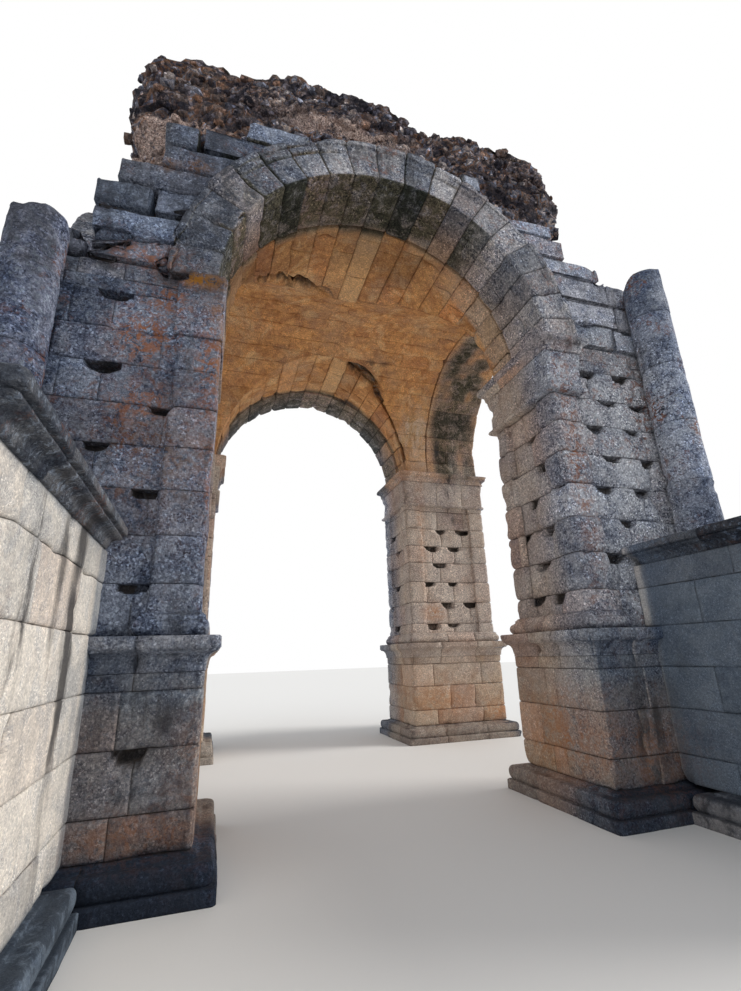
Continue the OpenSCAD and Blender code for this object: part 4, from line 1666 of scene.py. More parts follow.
    def pedestal(self, shell: Shell) -> None:
        """Pedestal in front of or behind the pier, with its moulded foot.

        Args:
            shell: takes the surfaces.
        """
        end, out, x0, x1 = self.pedestal_end, 0.19, self.pedestal_in, BODY.half_w + BODY.podium
        wear = Wear(joint=0.014, open=0.005, waves=0.012, rough=0.005, chips=0.04, edge=0.035)
        self.lay(shell, self.long_plan(3.60, out), inward(base_profile(out, 0), out), 60,
                 self.long_heads(out, (4.4, 5.3, 4.2, 5.1)), wear=wear, beds=(False, True))
        beds = (BODY.base_top, 0.59, 1.04, 1.465, 1.90, 2.34, BODY.pedestal_top)
        for number, (low, high) in enumerate(zip(beds[:-1], beds[1:])):
            odd = number % 2
            along = [v for v in (4.05 + 0.45 * odd, 4.95 + 0.4 * odd) if v < end - 0.25]
            heads = [(x0, v) for v in along] + [(x1, v + 0.12) for v in along] + [(3.45 + 0.16 * odd, end)]
            near = 3.40 if high < 1.8 else 3.30
            self.lay(shell, self.long_plan(near, 0), plain_rows(low, high), 61 + number, heads, wear=wear,
                     beds=(True, number < 5))

    def cornice(self, shell: Shell) -> None:
        """Cornice round the top of the pedestal, with its worn top.

        Args:
            shell: takes the surfaces.
        """
        out = 0.146
        heads = [h for h in self.long_heads(out, (4.3, 5.2, 4.2, 5.1)) if h[1] < self.pedestal_end + 0.2]
        self.lay(shell, self.long_plan(3.30, out), inward(cornice_profile(out), out), 70, heads,
                 wear=Wear(waves=0.010, rough=0.007, chips=0.035, edge=0.03), beds=(False, False), crown=True)

    def shafting(self, shell: Shell) -> None:
        """Engaged column of drums, with a low foot and a broken, sloping top.

        Args:
            shell: takes the surfaces.
        """
        (cx, cy, r), low, top = self.column, BODY.cornice_top, self.column_top
        turn = np.linspace(0, 2 * math.pi, 45)[:-1]

        def ring(radius: float) -> Outline:
            """Circle in plan, as many short edges."""
            return Outline([(cx + radius * math.cos(a), cy + radius * math.sin(a)) for a in turn])

        def broken(local: Array) -> Array:
            """Sinks a drum's top by its slope, the more the higher the point is.

            Args:
                local: points of the drum in the pier's own frame.

            Returns:
                The points in the arch.
            """
            limit = np.minimum(top - 0.02, top - 0.26 + 0.619 * (local[..., 1] - cy + r))
            limit = limit + 0.06 * waves(self.quarter.place(local * (1, 1, 0)), 0.22, 91, 2) - 0.04
            part = np.clip((local[..., 2] - start) / (top - start), 0, 1)
            height = np.where(part > 0, start + (limit - start) * part, local[..., 2])
            return self.quarter.place(np.stack([local[..., 0], local[..., 1], height], -1))

        foot = [(0.06, low), (0.06, low + 0.05), (0.045, low + 0.078), (0, low + 0.09), (-0.03, low + 0.091)]
        wear = Wear(joint=0.014, waves=0.024, thread=0.7)
        self.lay(shell, ring(r + 0.06), inward(foot, 0.06), 80, wear=wear, beds=(False, False))
        drums = max(2, round((top - low) / 0.86))
        beds = np.linspace(low, top, drums + 1)
        luck = [(number, self.quarter.seed, 0) for number in range(drums - 1)]
        beds[1:-1] += 0.12 * (scatter(np.array(luck), 3) - 0.5)
        start = beds[-2]
        for number, (a, b) in enumerate(zip(beds[:-1], beds[1:])):
            course(shell, ring(r), plain_rows(a, b, 0.065), broken if b == beds[-1] else self.quarter.place,
                   self.quarter.seed + 81 + number, wear=wear, crown=b == beds[-1])

    def haunch(self, shell: Shell) -> None:
        """Stepped ashlar over the pier, beside the main arch and the side arch.

        Each course runs from the arch's back to the broken step. Its blocks end
        under the steps, and the first one is cut to the arch's curve.

        Args:
            shell: takes the surfaces.
        """
        side = ((0.86, 0.66), (0.62, 0.90), (0.34, 1.03), (0.12, 1.10))
        number = self.quarter.seed
        usual = 0.62 if self.quarter is Quarter.FRONT_LEFT else 0.85
        for way, width, steps in ((Way.MAIN, BODY.half_w, self.steps), (Way.CROSS, BODY.side_ro, side)):
            spans = np.array([width] + [s * width for s, _ in steps])
            tops = way.spring + way.outer * np.array([h for _, h in steps])
            self.backing(shell, spans, tops, way)
            beds = self.ledges(tops)
            for low, high in zip(beds[:-1], beds[1:]):
                inner = way.back(low) - 0.03
                cuts = [float(v) for v, h0, h1 in zip(spans[1:-1], tops[:-1], tops[1:])
                        if min(h0, high) != min(h1, high) and v > inner + 0.1]
                cuts = [spans[0], *cuts, max(inner, float(spans[-1]))]
                for outer, nearer in zip(cuts[:-1], cuts[1:]):
                    top = min(high, float(tops[np.searchsorted(-spans, -(outer + nearer) / 2) - 1]))
                    if top - low < min(0.18, 0.9 * (high - low)) or outer - nearer < 0.2:
                        continue
                    edges = np.linspace(nearer, outer, max(1, round((outer - nearer) / usual)) + 1)
                    edges[1:-1] += 0.3 * (self.chance(number) - 0.5)
                    lost = 0.0 if way is Way.MAIN or nearer < 0.62 * BODY.side_ro - 0.05 else 0.45
                    for u0, u1 in zip(edges[:-1], edges[1:]):
                        number += 1
                        cut = u0 == edges[0] and nearer <= inner + 0.1
                        root = 0.16 if outer - nearer < 0.5 and not cut else 0.0
                        self.haunch_block(shell, (u0 - root, u1), (low, top), way, cut, number,
                                          u1 == edges[-1] or top < high, lost)

    @staticmethod
    def ledges(tops: Sequence[float]) -> list[float]:
        """Beds of the haunch: its broken tops, with more between those far apart.

        Args:
            tops: heights of the broken steps.

        Returns:
            The beds, from below.
        """
        firm = [BODY.spring_z]
        for top in sorted(tops):
            if top - firm[-1] > 0.26:
                firm.append(float(top))
        parts = [max(1, round((b - a) / 0.44)) for a, b in zip(firm[:-1], firm[1:])]
        beds = [a + (b - a) * k / n for a, b, n in zip(firm[:-1], firm[1:], parts) for k in range(n)]
        return beds + firm[-1:]

    def backing(self, shell: Shell, spans: Array, tops: Array, way: Way) -> None:
        """Fill behind the facing, so that no daylight passes through its joints.

        It is built of upright slices, each from the arch's back to just under the
        broken step over it.

        Args:
            shell: takes the surfaces.
            spans: ends of the steps, from the middle of the arch beside them.
            tops: heights of the steps.
            way: the arch that it stands beside.
        """
        wide, beds = 0.22, self.ledges(tops)
        behind = 0.48 if self.quarter is Quarter.FRONT_LEFT else 0.12
        deep = (way.other.outer - 0.05, way.reach - (behind if way is Way.MAIN else 0.55))
        wear = Wear(edge=0.02, waves=0.0, rough=0.012, chips=0.0, step=0.0)
        for u in np.arange(max(0.6, way.back(beds[-2]) - 0.1), spans[0] - 0.1, wide):
            outer = min(u + wide, spans[0] - 0.09)
            back = math.sqrt(max(0.0, (way.outer - 0.2) ** 2 - u**2))
            low = max(BODY.spring_z, way.spring + back)
            high = min(beds[-1], float(tops[np.searchsorted(-spans, -outer) - 1])) - 0.09
            if high - low > 0.1:
                ends = ((u - 0.01, deep[0], low), (outer, deep[1], high))
                if way is Way.CROSS:
                    ends = [(v, u_, z) for u_, v, z in ends]
                block(shell, *ends, self.quarter.place, self.quarter.seed + 99, wear, 0.35)

    def haunch_block(self, shell: Shell, span: tuple[float, float], rise: tuple[float, float], way: Way,
                     cut: bool, key: int, free: bool, lost: float) -> None:
        """One block of the haunch.

        Args:
            shell: takes the surface.
            span: its ends, from the middle of the arch beside it.
            rise: its lower and upper bed.
            way: the arch beside it.
            cut: whether its near end follows the arch.
            key: number that keeps its colour its own.
            free: whether it stands at a broken end, which has weathered round.
            lost: how far its facing has fallen away.
        """
        def put(local: Array) -> Array:
            """Slides the near end of a cut block to the arch at each height.

            Args:
                local: points of the uncut block.

            Returns:
                The points in the arch.
            """
            u, v, z = np.moveaxis(local, -1, 0)
            if cut:
                over = np.clip(z - way.spring, 0, way.outer - 0.25)
                inner = np.sqrt(np.maximum(0.0, way.outer**2 - over**2)) - 0.08
                u = inner + (span[1] - inner) * (u - span[0]) / (span[1] - span[0])
            return self.quarter.place(np.stack([u, v, z] if way is Way.MAIN else [v, u, z], -1))

        worn, hollow = (0.085, 0.055) if self.quarter is Quarter.FRONT_LEFT else (0.055, 0.045)
        wear = Wear(edge=worn if free else 0.4 * worn, waves=hollow, rough=0.022, chips=0.11, step=0.02)
        block(shell, (span[0] - 0.014, way.other.outer - 0.05, max(rise[0] - 0.035, BODY.spring_z)),
              (span[1] + 0.014, way.reach - lost, rise[1]), put, key, wear, self.grid * 1.4, self.scars)

    def build(self, yard: Yard) -> None:
        """Builds every piece of the pier and dresses it from its own slot of the record.

        Args:
            yard: takes the pieces.
        """
        makers = {"base": self.base, "podium": self.podium, "podium_cap": self.podium_cap,
                  "shaft": self.shaft, "impost": self.impost, "pedestal": self.pedestal,
                  "pedestal_cornice": self.cornice, "column": self.shafting, "haunch": self.haunch}
        for part, make in makers.items():
            name = f"{self.quarter.label}_{part}"
            shell = Shell(name + "_stones")
            make(shell)
            yard.stand(shell, name, part.split("_")[-1] + "_stone")


CROSS_WEAR = Wear(joint=0.010, open=0.006, waves=0.036, rough=0.022, step=0.010, thread=0.6, vary=0.6)


@dataclass
class Ring:
    """Arch of wedge stones at one end of a passage.

    Args:
        name: node that it stands for.
        way: passage that it spans.
        sign: side of the body's middle that it stands on.
        stones: number of wedge stones over the main passage.
    """
    name: str
    way: Way
    sign: int
    stones: int = 19

    def bend(self, local: Array) -> Array:
        """Puts (distance out, radius, arc along the inner radius) in the arch."""
        return self.way.bend(self.sign * local[..., 0], local[..., 1], local[..., 2] / self.way.radius)

    def leg(self, side: int) -> Place:
        """Puts (distance out, radius, height) in a straight leg of a side arch."""
        return lambda local: local * (self.sign, side, 1) + MIDDLE

    def main(self, shell: Shell, grid: float) -> None:
        """Wedge stones over the main passage, with two raised bands where they are left.

        Args:
            shell: takes the surfaces.
            grid: spacing of the lines.
        """
        radius, r, d, near = self.way.radius, self.way.outer, self.way.reach, self.way.other.outer
        step = math.pi / self.stones
        for number in range(self.stones):
            middle = np.array(math.degrees((number + 0.5) * step))
            keep = float(ramp(middle, 45, 70) * ramp(middle, 156, 148)) if self.sign < 0 else 0.8
            h0, h1 = 0.021 * keep + 0.004, 0.042 * keep + 0.008
            plan = Outline([(near, radius), (d, radius), (d, r - 0.24), (d + h0, r - 0.24),
                            (d + h0, r - 0.15), (d + h1, r - 0.15), (d + h1, r), (near, r)], (7,), grid)
            wear = Wear(joint=0.028, open=0.009, step=0.022, edge=0.022, rough=0.007,
                        waves=0.010 + 0.014 * (1 - keep), chips=0.03 + 0.04 * (1 - keep))
            rows = plain_rows(number * step * radius, (number + 1) * step * radius, 0.06)
            course(shell, plan, rows, self.bend, 500 + 40 * (self.sign + 1) + number,
                   [(2.93 + 0.13 * (number % 3 - 1), radius)], wear=wear)

    def cross(self, shell: Shell, grid: float) -> None:
        """Courses over the side passage, on straight legs.

        Args:
            shell: takes the surfaces.
            grid: spacing of the lines.
        """
        way, radius = self.way, self.way.radius
        plan = Outline(rectangle(way.other.outer - 0.03, way.reach, radius, way.outer), (3,), grid)
        for side in (-1, 1):
            course(shell, plan, plain_rows(BODY.spring_z, way.spring), self.leg(side),
                   700 + 40 * self.sign + side, [(3.4, radius)], wear=CROSS_WEAR)
        for number, (low, high) in enumerate(cross_joints()):
            course(shell, plan, plain_rows(low * radius, high * radius, 0.06), self.bend,
                   760 + 40 * self.sign + number, [(3.2 + 0.4 * (number % 2), radius)], wear=CROSS_WEAR)

    def build(self, yard: Yard) -> None:
        """Builds the ring and dresses it, with coarser lines at the rear.

        Args:
            yard: takes the dressed piece.
        """
        shell = Shell(self.name + "_stones")
        grid = 0.068 if self.sign < 0 or self.way is Way.CROSS else 0.11
        (self.main if self.way is Way.MAIN else self.cross)(shell, grid)
        yard.stand(shell, self.name, "arch_stone")


def cross_joints() -> list[tuple[float, float]]:
    """Lower and upper joint of each course of the side passage's barrel.

    Seven courses on each side are cut by the groin, six run right across.

    Returns:
        Pairs of angles.
    """
    split = math.asin((Way.MAIN.spring + Way.MAIN.radius - Way.CROSS.spring) / Way.CROSS.radius)
    joints = [*np.linspace(0, split, 8), *np.linspace(split, math.pi - split, 7)[1:],
              *np.linspace(math.pi - split, math.pi, 8)[1:]]
    return list(zip(joints[:-1], joints[1:]))


@dataclass(frozen=True)
class Barrel:
    """One of the vault's two barrels, from the end arches to the groin.

    Args:
        way: passage that it spans.
        key: number that keeps its random stones its own.
        luck: number that keeps its random joints its own.
        inset: distance of the first upright joint from the end arch, and how far
            it varies.
        spacing: distance between upright joints.
        clear: least distance of one from the groin.
        wear: wear of its stones.
        thick: thickness of the courses that are built.
    """
    way: Way
    key: int
    luck: int
    inset: tuple[float, float]
    spacing: float
    clear: float
    wear: Wear
    thick: float = 0.30

    def groin(self, angle: Array) -> Array:
        """Distance of the groin from the middle, where the other barrel is as high.

        Args:
            angle: angles on the barrel, from its springing.

        Returns:
            Distance along the barrel at each angle.
        """
        way, other = self.way, self.way.other
        rise = way.spring + way.radius * np.sin(angle) - other.spring
        return np.sqrt(np.clip(other.radius**2 - np.clip(rise, 0, None) ** 2, 0, None))

    def band(self, shell: Shell, number: int, joints: tuple[float, float], side: int, gash: Place) -> None:
        """One course, from an end arch to the groin or right across.

        Its length is that of the groin at the middle of the course, and each point
        is drawn out or in to the groin at its own angle.

        Args:
            shell: takes the surface.
            number: number of the course.
            joints: angles of its lower and its upper joint.
            side: end that it stands at, or 0 for a course that runs right across.
            gash: more depth, worked out from places in the arch.
        """
        radius, far = self.way.radius, self.way.other.outer
        middle = float(self.groin(np.array(sum(joints) / 2))) if side else -far

        def bend(local: Array) -> Array:
            """Turns the arc into an angle and the near end to the groin.

            Args:
                local: length along the barrel, distance from its axis, and arc.

            Returns:
                The points in the arch.
            """
            along, angle = local[..., 0], local[..., 2] / radius
            if side:
                along = far - (far - along) / (far - middle) * (far - self.groin(angle))
            return self.way.bend((side or 1) * along, local[..., 1], angle)

        plan = Outline(rectangle(middle, far, radius, radius + self.thick), (1, 2, 3), 0.07)
        luck = float(scatter(np.array([number, side, self.luck]), 8))
        first = far - self.inset[0] - self.inset[1] * luck
        heads = [(v, radius) for v in np.arange(first, middle + self.clear, -self.spacing)]
        course(shell, plan, plain_rows(joints[0] * radius, joints[1] * radius, 0.075), bend,
               self.key + 30 * side + number, heads, wear=self.wear, gash=gash)


@dataclass(frozen=True)
class Vault:
    """Middle of the vault, where two barrels of unequal height cross in a groin.

    Args:
        main: barrel of the main passage.
        cross: barrel of the side passage.
        stones: number of courses of the main barrel.
    """
    main: Barrel = Barrel(Way.MAIN, 900, 4, (0.15, 0.45), 0.80, 0.25, Wear(
        joint=0.024, open=0.010, waves=0.028, rough=0.014, chips=0.07, step=0.032, vary=0.8))
    cross: Barrel = Barrel(Way.CROSS, 1000, 5, (0.2, 0.5), 0.62, 0.2, replace(
        CROSS_WEAR, thread=0.4, vary=0.45))
    stones: int = 19

    @staticmethod
    def crack(world: Array) -> Array:
        """Depth of the crack along the rear right groin, and of breaks at the front left.

        The crack is a wedge that widens upwards, round the line where both barrels
        meet; the breaks follow the same line and are cut off by broad noise.

        Args:
            world: places in the arch.

        Returns:
            Depth at each place.
        """
        x, y, z = np.moveaxis(world - MIDDLE, -1, 0)
        rises = (np.clip(z - way.spring, 0, None) for way in Way)
        groin = [np.sqrt(np.clip(way.radius**2 - rise**2, 0, None)) for way, rise in zip(Way, rises)]
        rough = waves(world, 0.25, 95, 2)
        top = ramp(z, 7.20, 7.58)
        away = np.hypot(x - groin[0] - 0.10 * top, y - groin[1]) + 0.03 * rough
        width = 0.032 + 0.25 * top
        there = ramp(z, 5.85, 6.0) * ramp(z, 7.78, 7.70) * (x > 0) * (y > 0)
        wedge = 0.24 * ramp(away, width, 0.6 * width) * there
        left = np.hypot(np.abs(x) - groin[0], np.abs(y) - groin[1]) + 0.26 * waves(world, 0.16, 98, 3)
        broken = ramp(left, 0.26, 0.10) * ramp(waves(world, 0.40, 97, 2), -0.55, -0.05)
        return wedge + 0.26 * (broken * (y < 0) * ramp(x, -0.2, -0.5) * ramp(z, 6.5, 6.8))

    def springer(self, shell: Shell, sx: int, sy: int) -> None:
        """Upright block under the side passage's barrel, level with its legs.

        Args:
            shell: takes the surfaces.
            sx: left -1 or right 1.
            sy: front -1 or rear 1.
        """
        way = self.cross.way
        sides = rectangle(way.other.radius + 0.02, way.other.outer, way.radius, way.radius + self.cross.thick)
        course(shell, Outline(sides, (1, 2, 3), 0.07), plain_rows(BODY.spring_z, way.spring),
               lambda local: local * (sx, sy, 1) + MIDDLE, 1100 + 2 * sx + sy)

    def build(self, yard: Yard) -> None:
        """Builds all the courses of both barrels and dresses them.

        Args:
            yard: takes the piece.
        """
        shell, step = Shell("groin_vault_stones"), math.pi / self.stones
        for side in (-1, 1):
            for number in range(self.stones):
                self.main.band(shell, number, (number * step, (number + 1) * step), side, self.crack)
            for sx in (-1, 1):
                self.springer(shell, sx, side)
        for number, joints in enumerate(cross_joints()):
            for side in ((0,) if 7 <= number < 13 else (-1, 1)):
                self.cross.band(shell, number, joints, side, self.crack)
        yard.stand(shell, "groin_vault", "vault_stone")


@dataclass
class Core:
    """Mass of rubble and mortar over the vault.

    Args:
        front: outline seen from the front, as parts of half the width and of the
            way from the springing to the top.
        side: outline seen from the side, as parts of half the core's depth.
        hollows: hollows in its top, each with its place as parts of half the width
            and depth, and its radius and depth as parts of the core's height over
            the vault.
        lines: number of lines round it.
        rows: number of rows over its top, down its flanks and back underneath.
        loose: number of stones that are bedded in it.
        half_depth: half its depth.
        backs: outer radii of the barrels under it, main and cross.
        middle: place along X where its rows start and end.
        ceiling: height that its relief and its loose stones keep under.
    """
    front: Pairs = (
        (-0.79, 0.10), (-0.80, 0.42), (-0.845, 0.55), (-0.858, 0.73), (-0.843, 0.84), (-0.75, 0.90),
        (-0.635, 0.935), (-0.52, 0.92), (-0.357, 0.955), (-0.185, 0.995), (0.02, 0.99), (0.11, 0.935),
        (0.198, 0.90), (0.362, 0.925), (0.537, 0.965), (0.64, 0.925), (0.727, 0.88), (0.787, 0.712),
        (0.73, 0.535), (0.70, 0.10))
    side: Pairs = (
        (-1, 0.10), (-1, 0.70), (-0.97, 0.725), (-0.965, 0.975), (-0.93, 1), (-0.55, 0.985), (-0.2, 0.94),
        (0.15, 0.95), (0.5, 0.90), (0.82, 0.88), (0.94, 0.80), (1, 0.62), (0.98, 0.10))
    hollows: tuple[tuple[float, float, float, float], ...] = (
        (0.24, -0.33, 0.72, 0.36), (-0.44, -0.30, 0.62, 0.26), (-0.46, 0.44, 0.82, 0.34),
        (0.46, 0.48, 0.85, 0.42), (0.0, 0.60, 0.60, 0.24))
    lines: int = 430
    rows: tuple[int, int] = (55, 60)
    loose: int = 2800
    half_depth: float = 3.15
    backs: tuple[float, float] = (2.48, 2.28)
    middle: float = -0.12
    ceiling: tuple[float, float] = (9.78, 9.84)

    @staticmethod
    def flanks(outline: Pairs, first: int, last: int, unit: float, height: Array) -> tuple[Array, Array]:
        """Reach of both steep flanks of an outline at each height.

        Args:
            outline: its corners, from the foot of one flank to that of the other.
            first: number of corners on the first flank.
            last: number of corners on the last flank.
            unit: length of one.
            height: heights, as parts of the rise.

        Returns:
            Reach of the first and of the last flank.
        """
        p = np.asarray(outline, float)
        left, right = p[:first], p[::-1][:last]
        return (np.interp(height, left[:, 1], left[:, 0]) * unit,
                np.interp(height, right[:, 1], right[:, 0]) * unit)

    def roof(self, x: Array, y: Array) -> Array:
        """Height of the top: the lower of two outlines, less round hollows.

        Args:
            x: places across, from the body's middle.
            y: places from front to rear, from the body's middle.

        Returns:
            Height over each place.
        """
        b = BODY
        f, s = np.asarray(self.front[4:17]), np.asarray(self.side[3:11])
        rise, crown = b.core_top - b.spring_z, b.core_top - b.side_z - b.side_ro
        over = (np.interp(x / b.half_w, f[:, 0], f[:, 1]), np.interp(y / self.half_depth, s[:, 0], s[:, 1]))
        height = b.spring_z + np.minimum(*over) * rise
        for at_x, at_y, radius, depth in self.hollows:
            away = np.hypot(x - at_x * b.half_w, y - at_y * self.half_depth) / (0.93 * radius * crown)
            floor = b.spring_z + 0.95 * rise - depth * crown
            height = np.minimum(height, floor + depth * crown * np.clip(away - 0.4, 0, None) / 0.6)
        return height

    def under(self, x: Array, y: Array) -> Array:
        """Height of the underside: the backs of both barrels, or just over the springing.

        Args:
            x: places across, from the body's middle.
            y: places from front to rear, from the body's middle.

        Returns:
            Height over each place.
        """
        main, cross = self.backs
        over_main = Way.MAIN.spring + np.sqrt(np.clip(main**2 - x**2, 0, None))
        over_cross = Way.CROSS.spring + np.sqrt(np.clip(cross**2 - y**2, 0, None))
        over_cross = np.where(np.abs(y) < cross, over_cross, 0)
        return np.maximum(np.maximum(over_main, over_cross), BODY.spring_z + 0.06)

    def surface(self) -> Array:
        """Smooth surface, before the stones stand out of it.

        Lines run round a rounded rectangle that is as wide as the outlines are at
        each height. Rows run from the middle of the top out to its edge, down the
        flanks, and back along the underside to the middle.

        Returns:
            Points, shape (rows, lines, 3).
        """
        b = BODY
        turn = np.linspace(0, 2 * np.pi, self.lines, endpoint=False)
        c, s = np.cos(turn), np.sin(turn)
        round_ = (np.abs(c) ** 20 + np.abs(s) ** 20) ** (-1 / 20)
        u, v = c * round_, s * round_
        rise = b.core_top - b.spring_z

        def spread(height: Array) -> tuple[Array, Array]:
            """Plan at the heights given.

            Args:
                height: heights of the rows.

            Returns:
                Places x and y of the outline.
            """
            part = (height - b.spring_z) / rise
            x0, x1 = self.flanks(self.front, 6, 4, b.half_w, part)
            y0, y1 = self.flanks(self.side, 4, 4, self.half_depth, part)
            return (x0 + x1) / 2 + u * (x1 - x0) / 2, (y0 + y1) / 2 + v * (y1 - y0) / 2

        def inside(edge_x: Array, edge_y: Array, part: float) -> tuple[Array, Array]:
            """Plan at a part of the way from the middle out to an edge."""
            return self.middle + (edge_x - self.middle) * part, edge_y * part

        rim_z = np.full(self.lines, b.spring_z + 0.80 * rise)
        for _ in range(8):
            x, y = spread(rim_z)
            rim_z = self.roof(x * 0.998, y * 0.998)
        rim_x, rim_y = spread(rim_z)
        low_z = self.under(*spread(np.full(self.lines, b.spring_z + 0.45 * rise)))
        rows = []
        for k in np.linspace(0.02, 1, self.rows[0] + 1)[:-1] ** 0.8:
            x, y = inside(rim_x, rim_y, k)
            blend = ramp(np.full_like(x, k), 0.86, 1.0)
            rows.append(np.stack([x, y, self.roof(x, y) * (1 - blend) + rim_z * blend], -1))
        for k in np.linspace(0, 1, self.rows[1]):
            z = rim_z + (low_z - rim_z) * k
            rows.append(np.stack([*spread(z), z], -1))
        foot = rows[-1]
        for k in (0.9, 0.75, 0.55, 0.35, 0.15, 0.02):
            x, y = inside(foot[:, 0], foot[:, 1], k)
            rows.append(np.stack([x, y, self.under(x, y)], -1))
        return np.stack(rows) + MIDDLE

    def build(self, yard: Yard) -> None:
        """Builds the mass, with its relief and its loose stones.

        The surface is moved along its normals by broad waves and layers, and then
        by two sizes of pebbles, whose gaps are sunk.

        Args:
            yard: takes the two pieces.
        """
        shell = Shell("rubble_core_stones")
        grid = self.surface()
        normal, shape, skin = self.normals(grid), grid.shape[:2], sum(self.rows)
        layers = np.sin(grid[:skin, :, 2] * 11.0 + 2.2 * waves(grid[:skin], 1.1, 107, 2))
        swell = 0.10 * waves(grid[:skin], 0.7, 101, 3) + 0.03 * layers - 0.01
        grid[:skin] += normal[:skin] * swell[..., None]
        flat = grid.reshape(-1, 3)
        _, gap, tone = pebbles(flat * (1, 1, 1.4) + 0.03 * waves(flat, 0.11, 103)[:, None], 0.17, 5)
        _, small, tint = pebbles(flat * (1, 1, 1.25), 0.08, 9)
        proud = 0.06 * ramp(gap, 0.02, 0.30) * (0.2 + 1.0 * tone) + 0.024 * ramp(small, 0.0, 0.3)
        lift = (proud - 0.055 + 0.012 * waves(flat, 0.05, 105)).reshape(shape)
        lift[skin:] = 0
        grid = grid + normal * lift[..., None]
        top = self.ceiling[0]
        grid[..., 2] = np.minimum(grid[..., 2], top + 0.25 * (grid[..., 2] - top))
        deep = (1 - ramp(gap, 0.03, 0.22)) * ramp(lift.reshape(-1), -0.02, -0.06)
        marks = np.stack([np.where(tint > 0.4, tone, tint * 2.5), tint, deep], -1)
        first = np.arange(shape[1])
        last = first + (shape[0] - 1) * shape[1]
        shell.add(grid.reshape(-1, 3), grid_quads(*shape), [first[::-1], last], marks)
        yard.stand(shell, "rubble_core", "rubble")
        loose = Shell("rubble_core_field_stones")
        self.stones(loose, grid[:skin], normal[:skin])
        yard.stand(loose, "rubble_core", "rubble")

    @staticmethod
    def normals(grid: Array) -> Array:
        """Outward normals of a ringed grid: the product of its steps down and round."""
        normal = np.cross(np.gradient(grid, axis=0), np.roll(grid, -1, 1) - np.roll(grid, 1, 1))
        return normal / np.maximum(np.linalg.norm(normal, axis=-1), 1e-9)[..., None]

    def stones(self, shell: Shell, grid: Array, normal: Array) -> None:
        """Beds rounded stones in the skin, each with a few dozen faces.

        A stone is a small lattice cube pushed out to a rounded box, stretched to
        its own size, turned to lie along the skin and jolted at each corner.

        Args:
            shell: takes the surfaces.
            grid: points of the skin.
            normal: its normals.
        """
        random = np.random.default_rng(20)
        flat, way = grid.reshape(-1, 3), normal.reshape(-1, 3)
        area = np.cross(np.gradient(grid, axis=0), np.gradient(grid, axis=1))
        area = np.linalg.norm(area, axis=-1).ravel()
        pick = random.choice(len(flat), self.loose, False, area / area.sum())
        cube, quads = box_surface([np.linspace(-1, 1, 3)] * 3)
        cube = cube / (np.abs(cube) ** 3.2).sum(1, keepdims=True) ** (1 / 3.2)
        for at, out in zip(flat[pick], way[pick]):
            size = 0.026 + 0.062 * random.uniform() ** 2.2
            size = size * np.array([1.25, 1.0, 0.75]) * random.uniform(0.75, 1.25, 3)
            up = np.array([0, 0, 1.0]) if abs(out[2]) < 0.8 else np.array([0.3, 1.0, 0])
            along = np.cross(up, out)
            along /= np.linalg.norm(along)
            tip = np.cross(out, along)
            lean = random.normal(0, 0.22)
            turn = np.stack([along * math.cos(lean) + tip * math.sin(lean), out,
                             tip * math.cos(lean) - along * math.sin(lean)])
            points = (cube * size * random.uniform(0.78, 1.12, (len(cube), 1))) @ turn
            points = points + at + out * size[1] * random.uniform(-0.6, 0.3)
            points[:, 2] = np.minimum(points[:, 2], self.ceiling[1])
            mark = np.broadcast_to([random.uniform(), random.uniform(), 0.0], (len(cube), 3))
            shell.add(points, quads, [], mark)


# Camera, floor and light


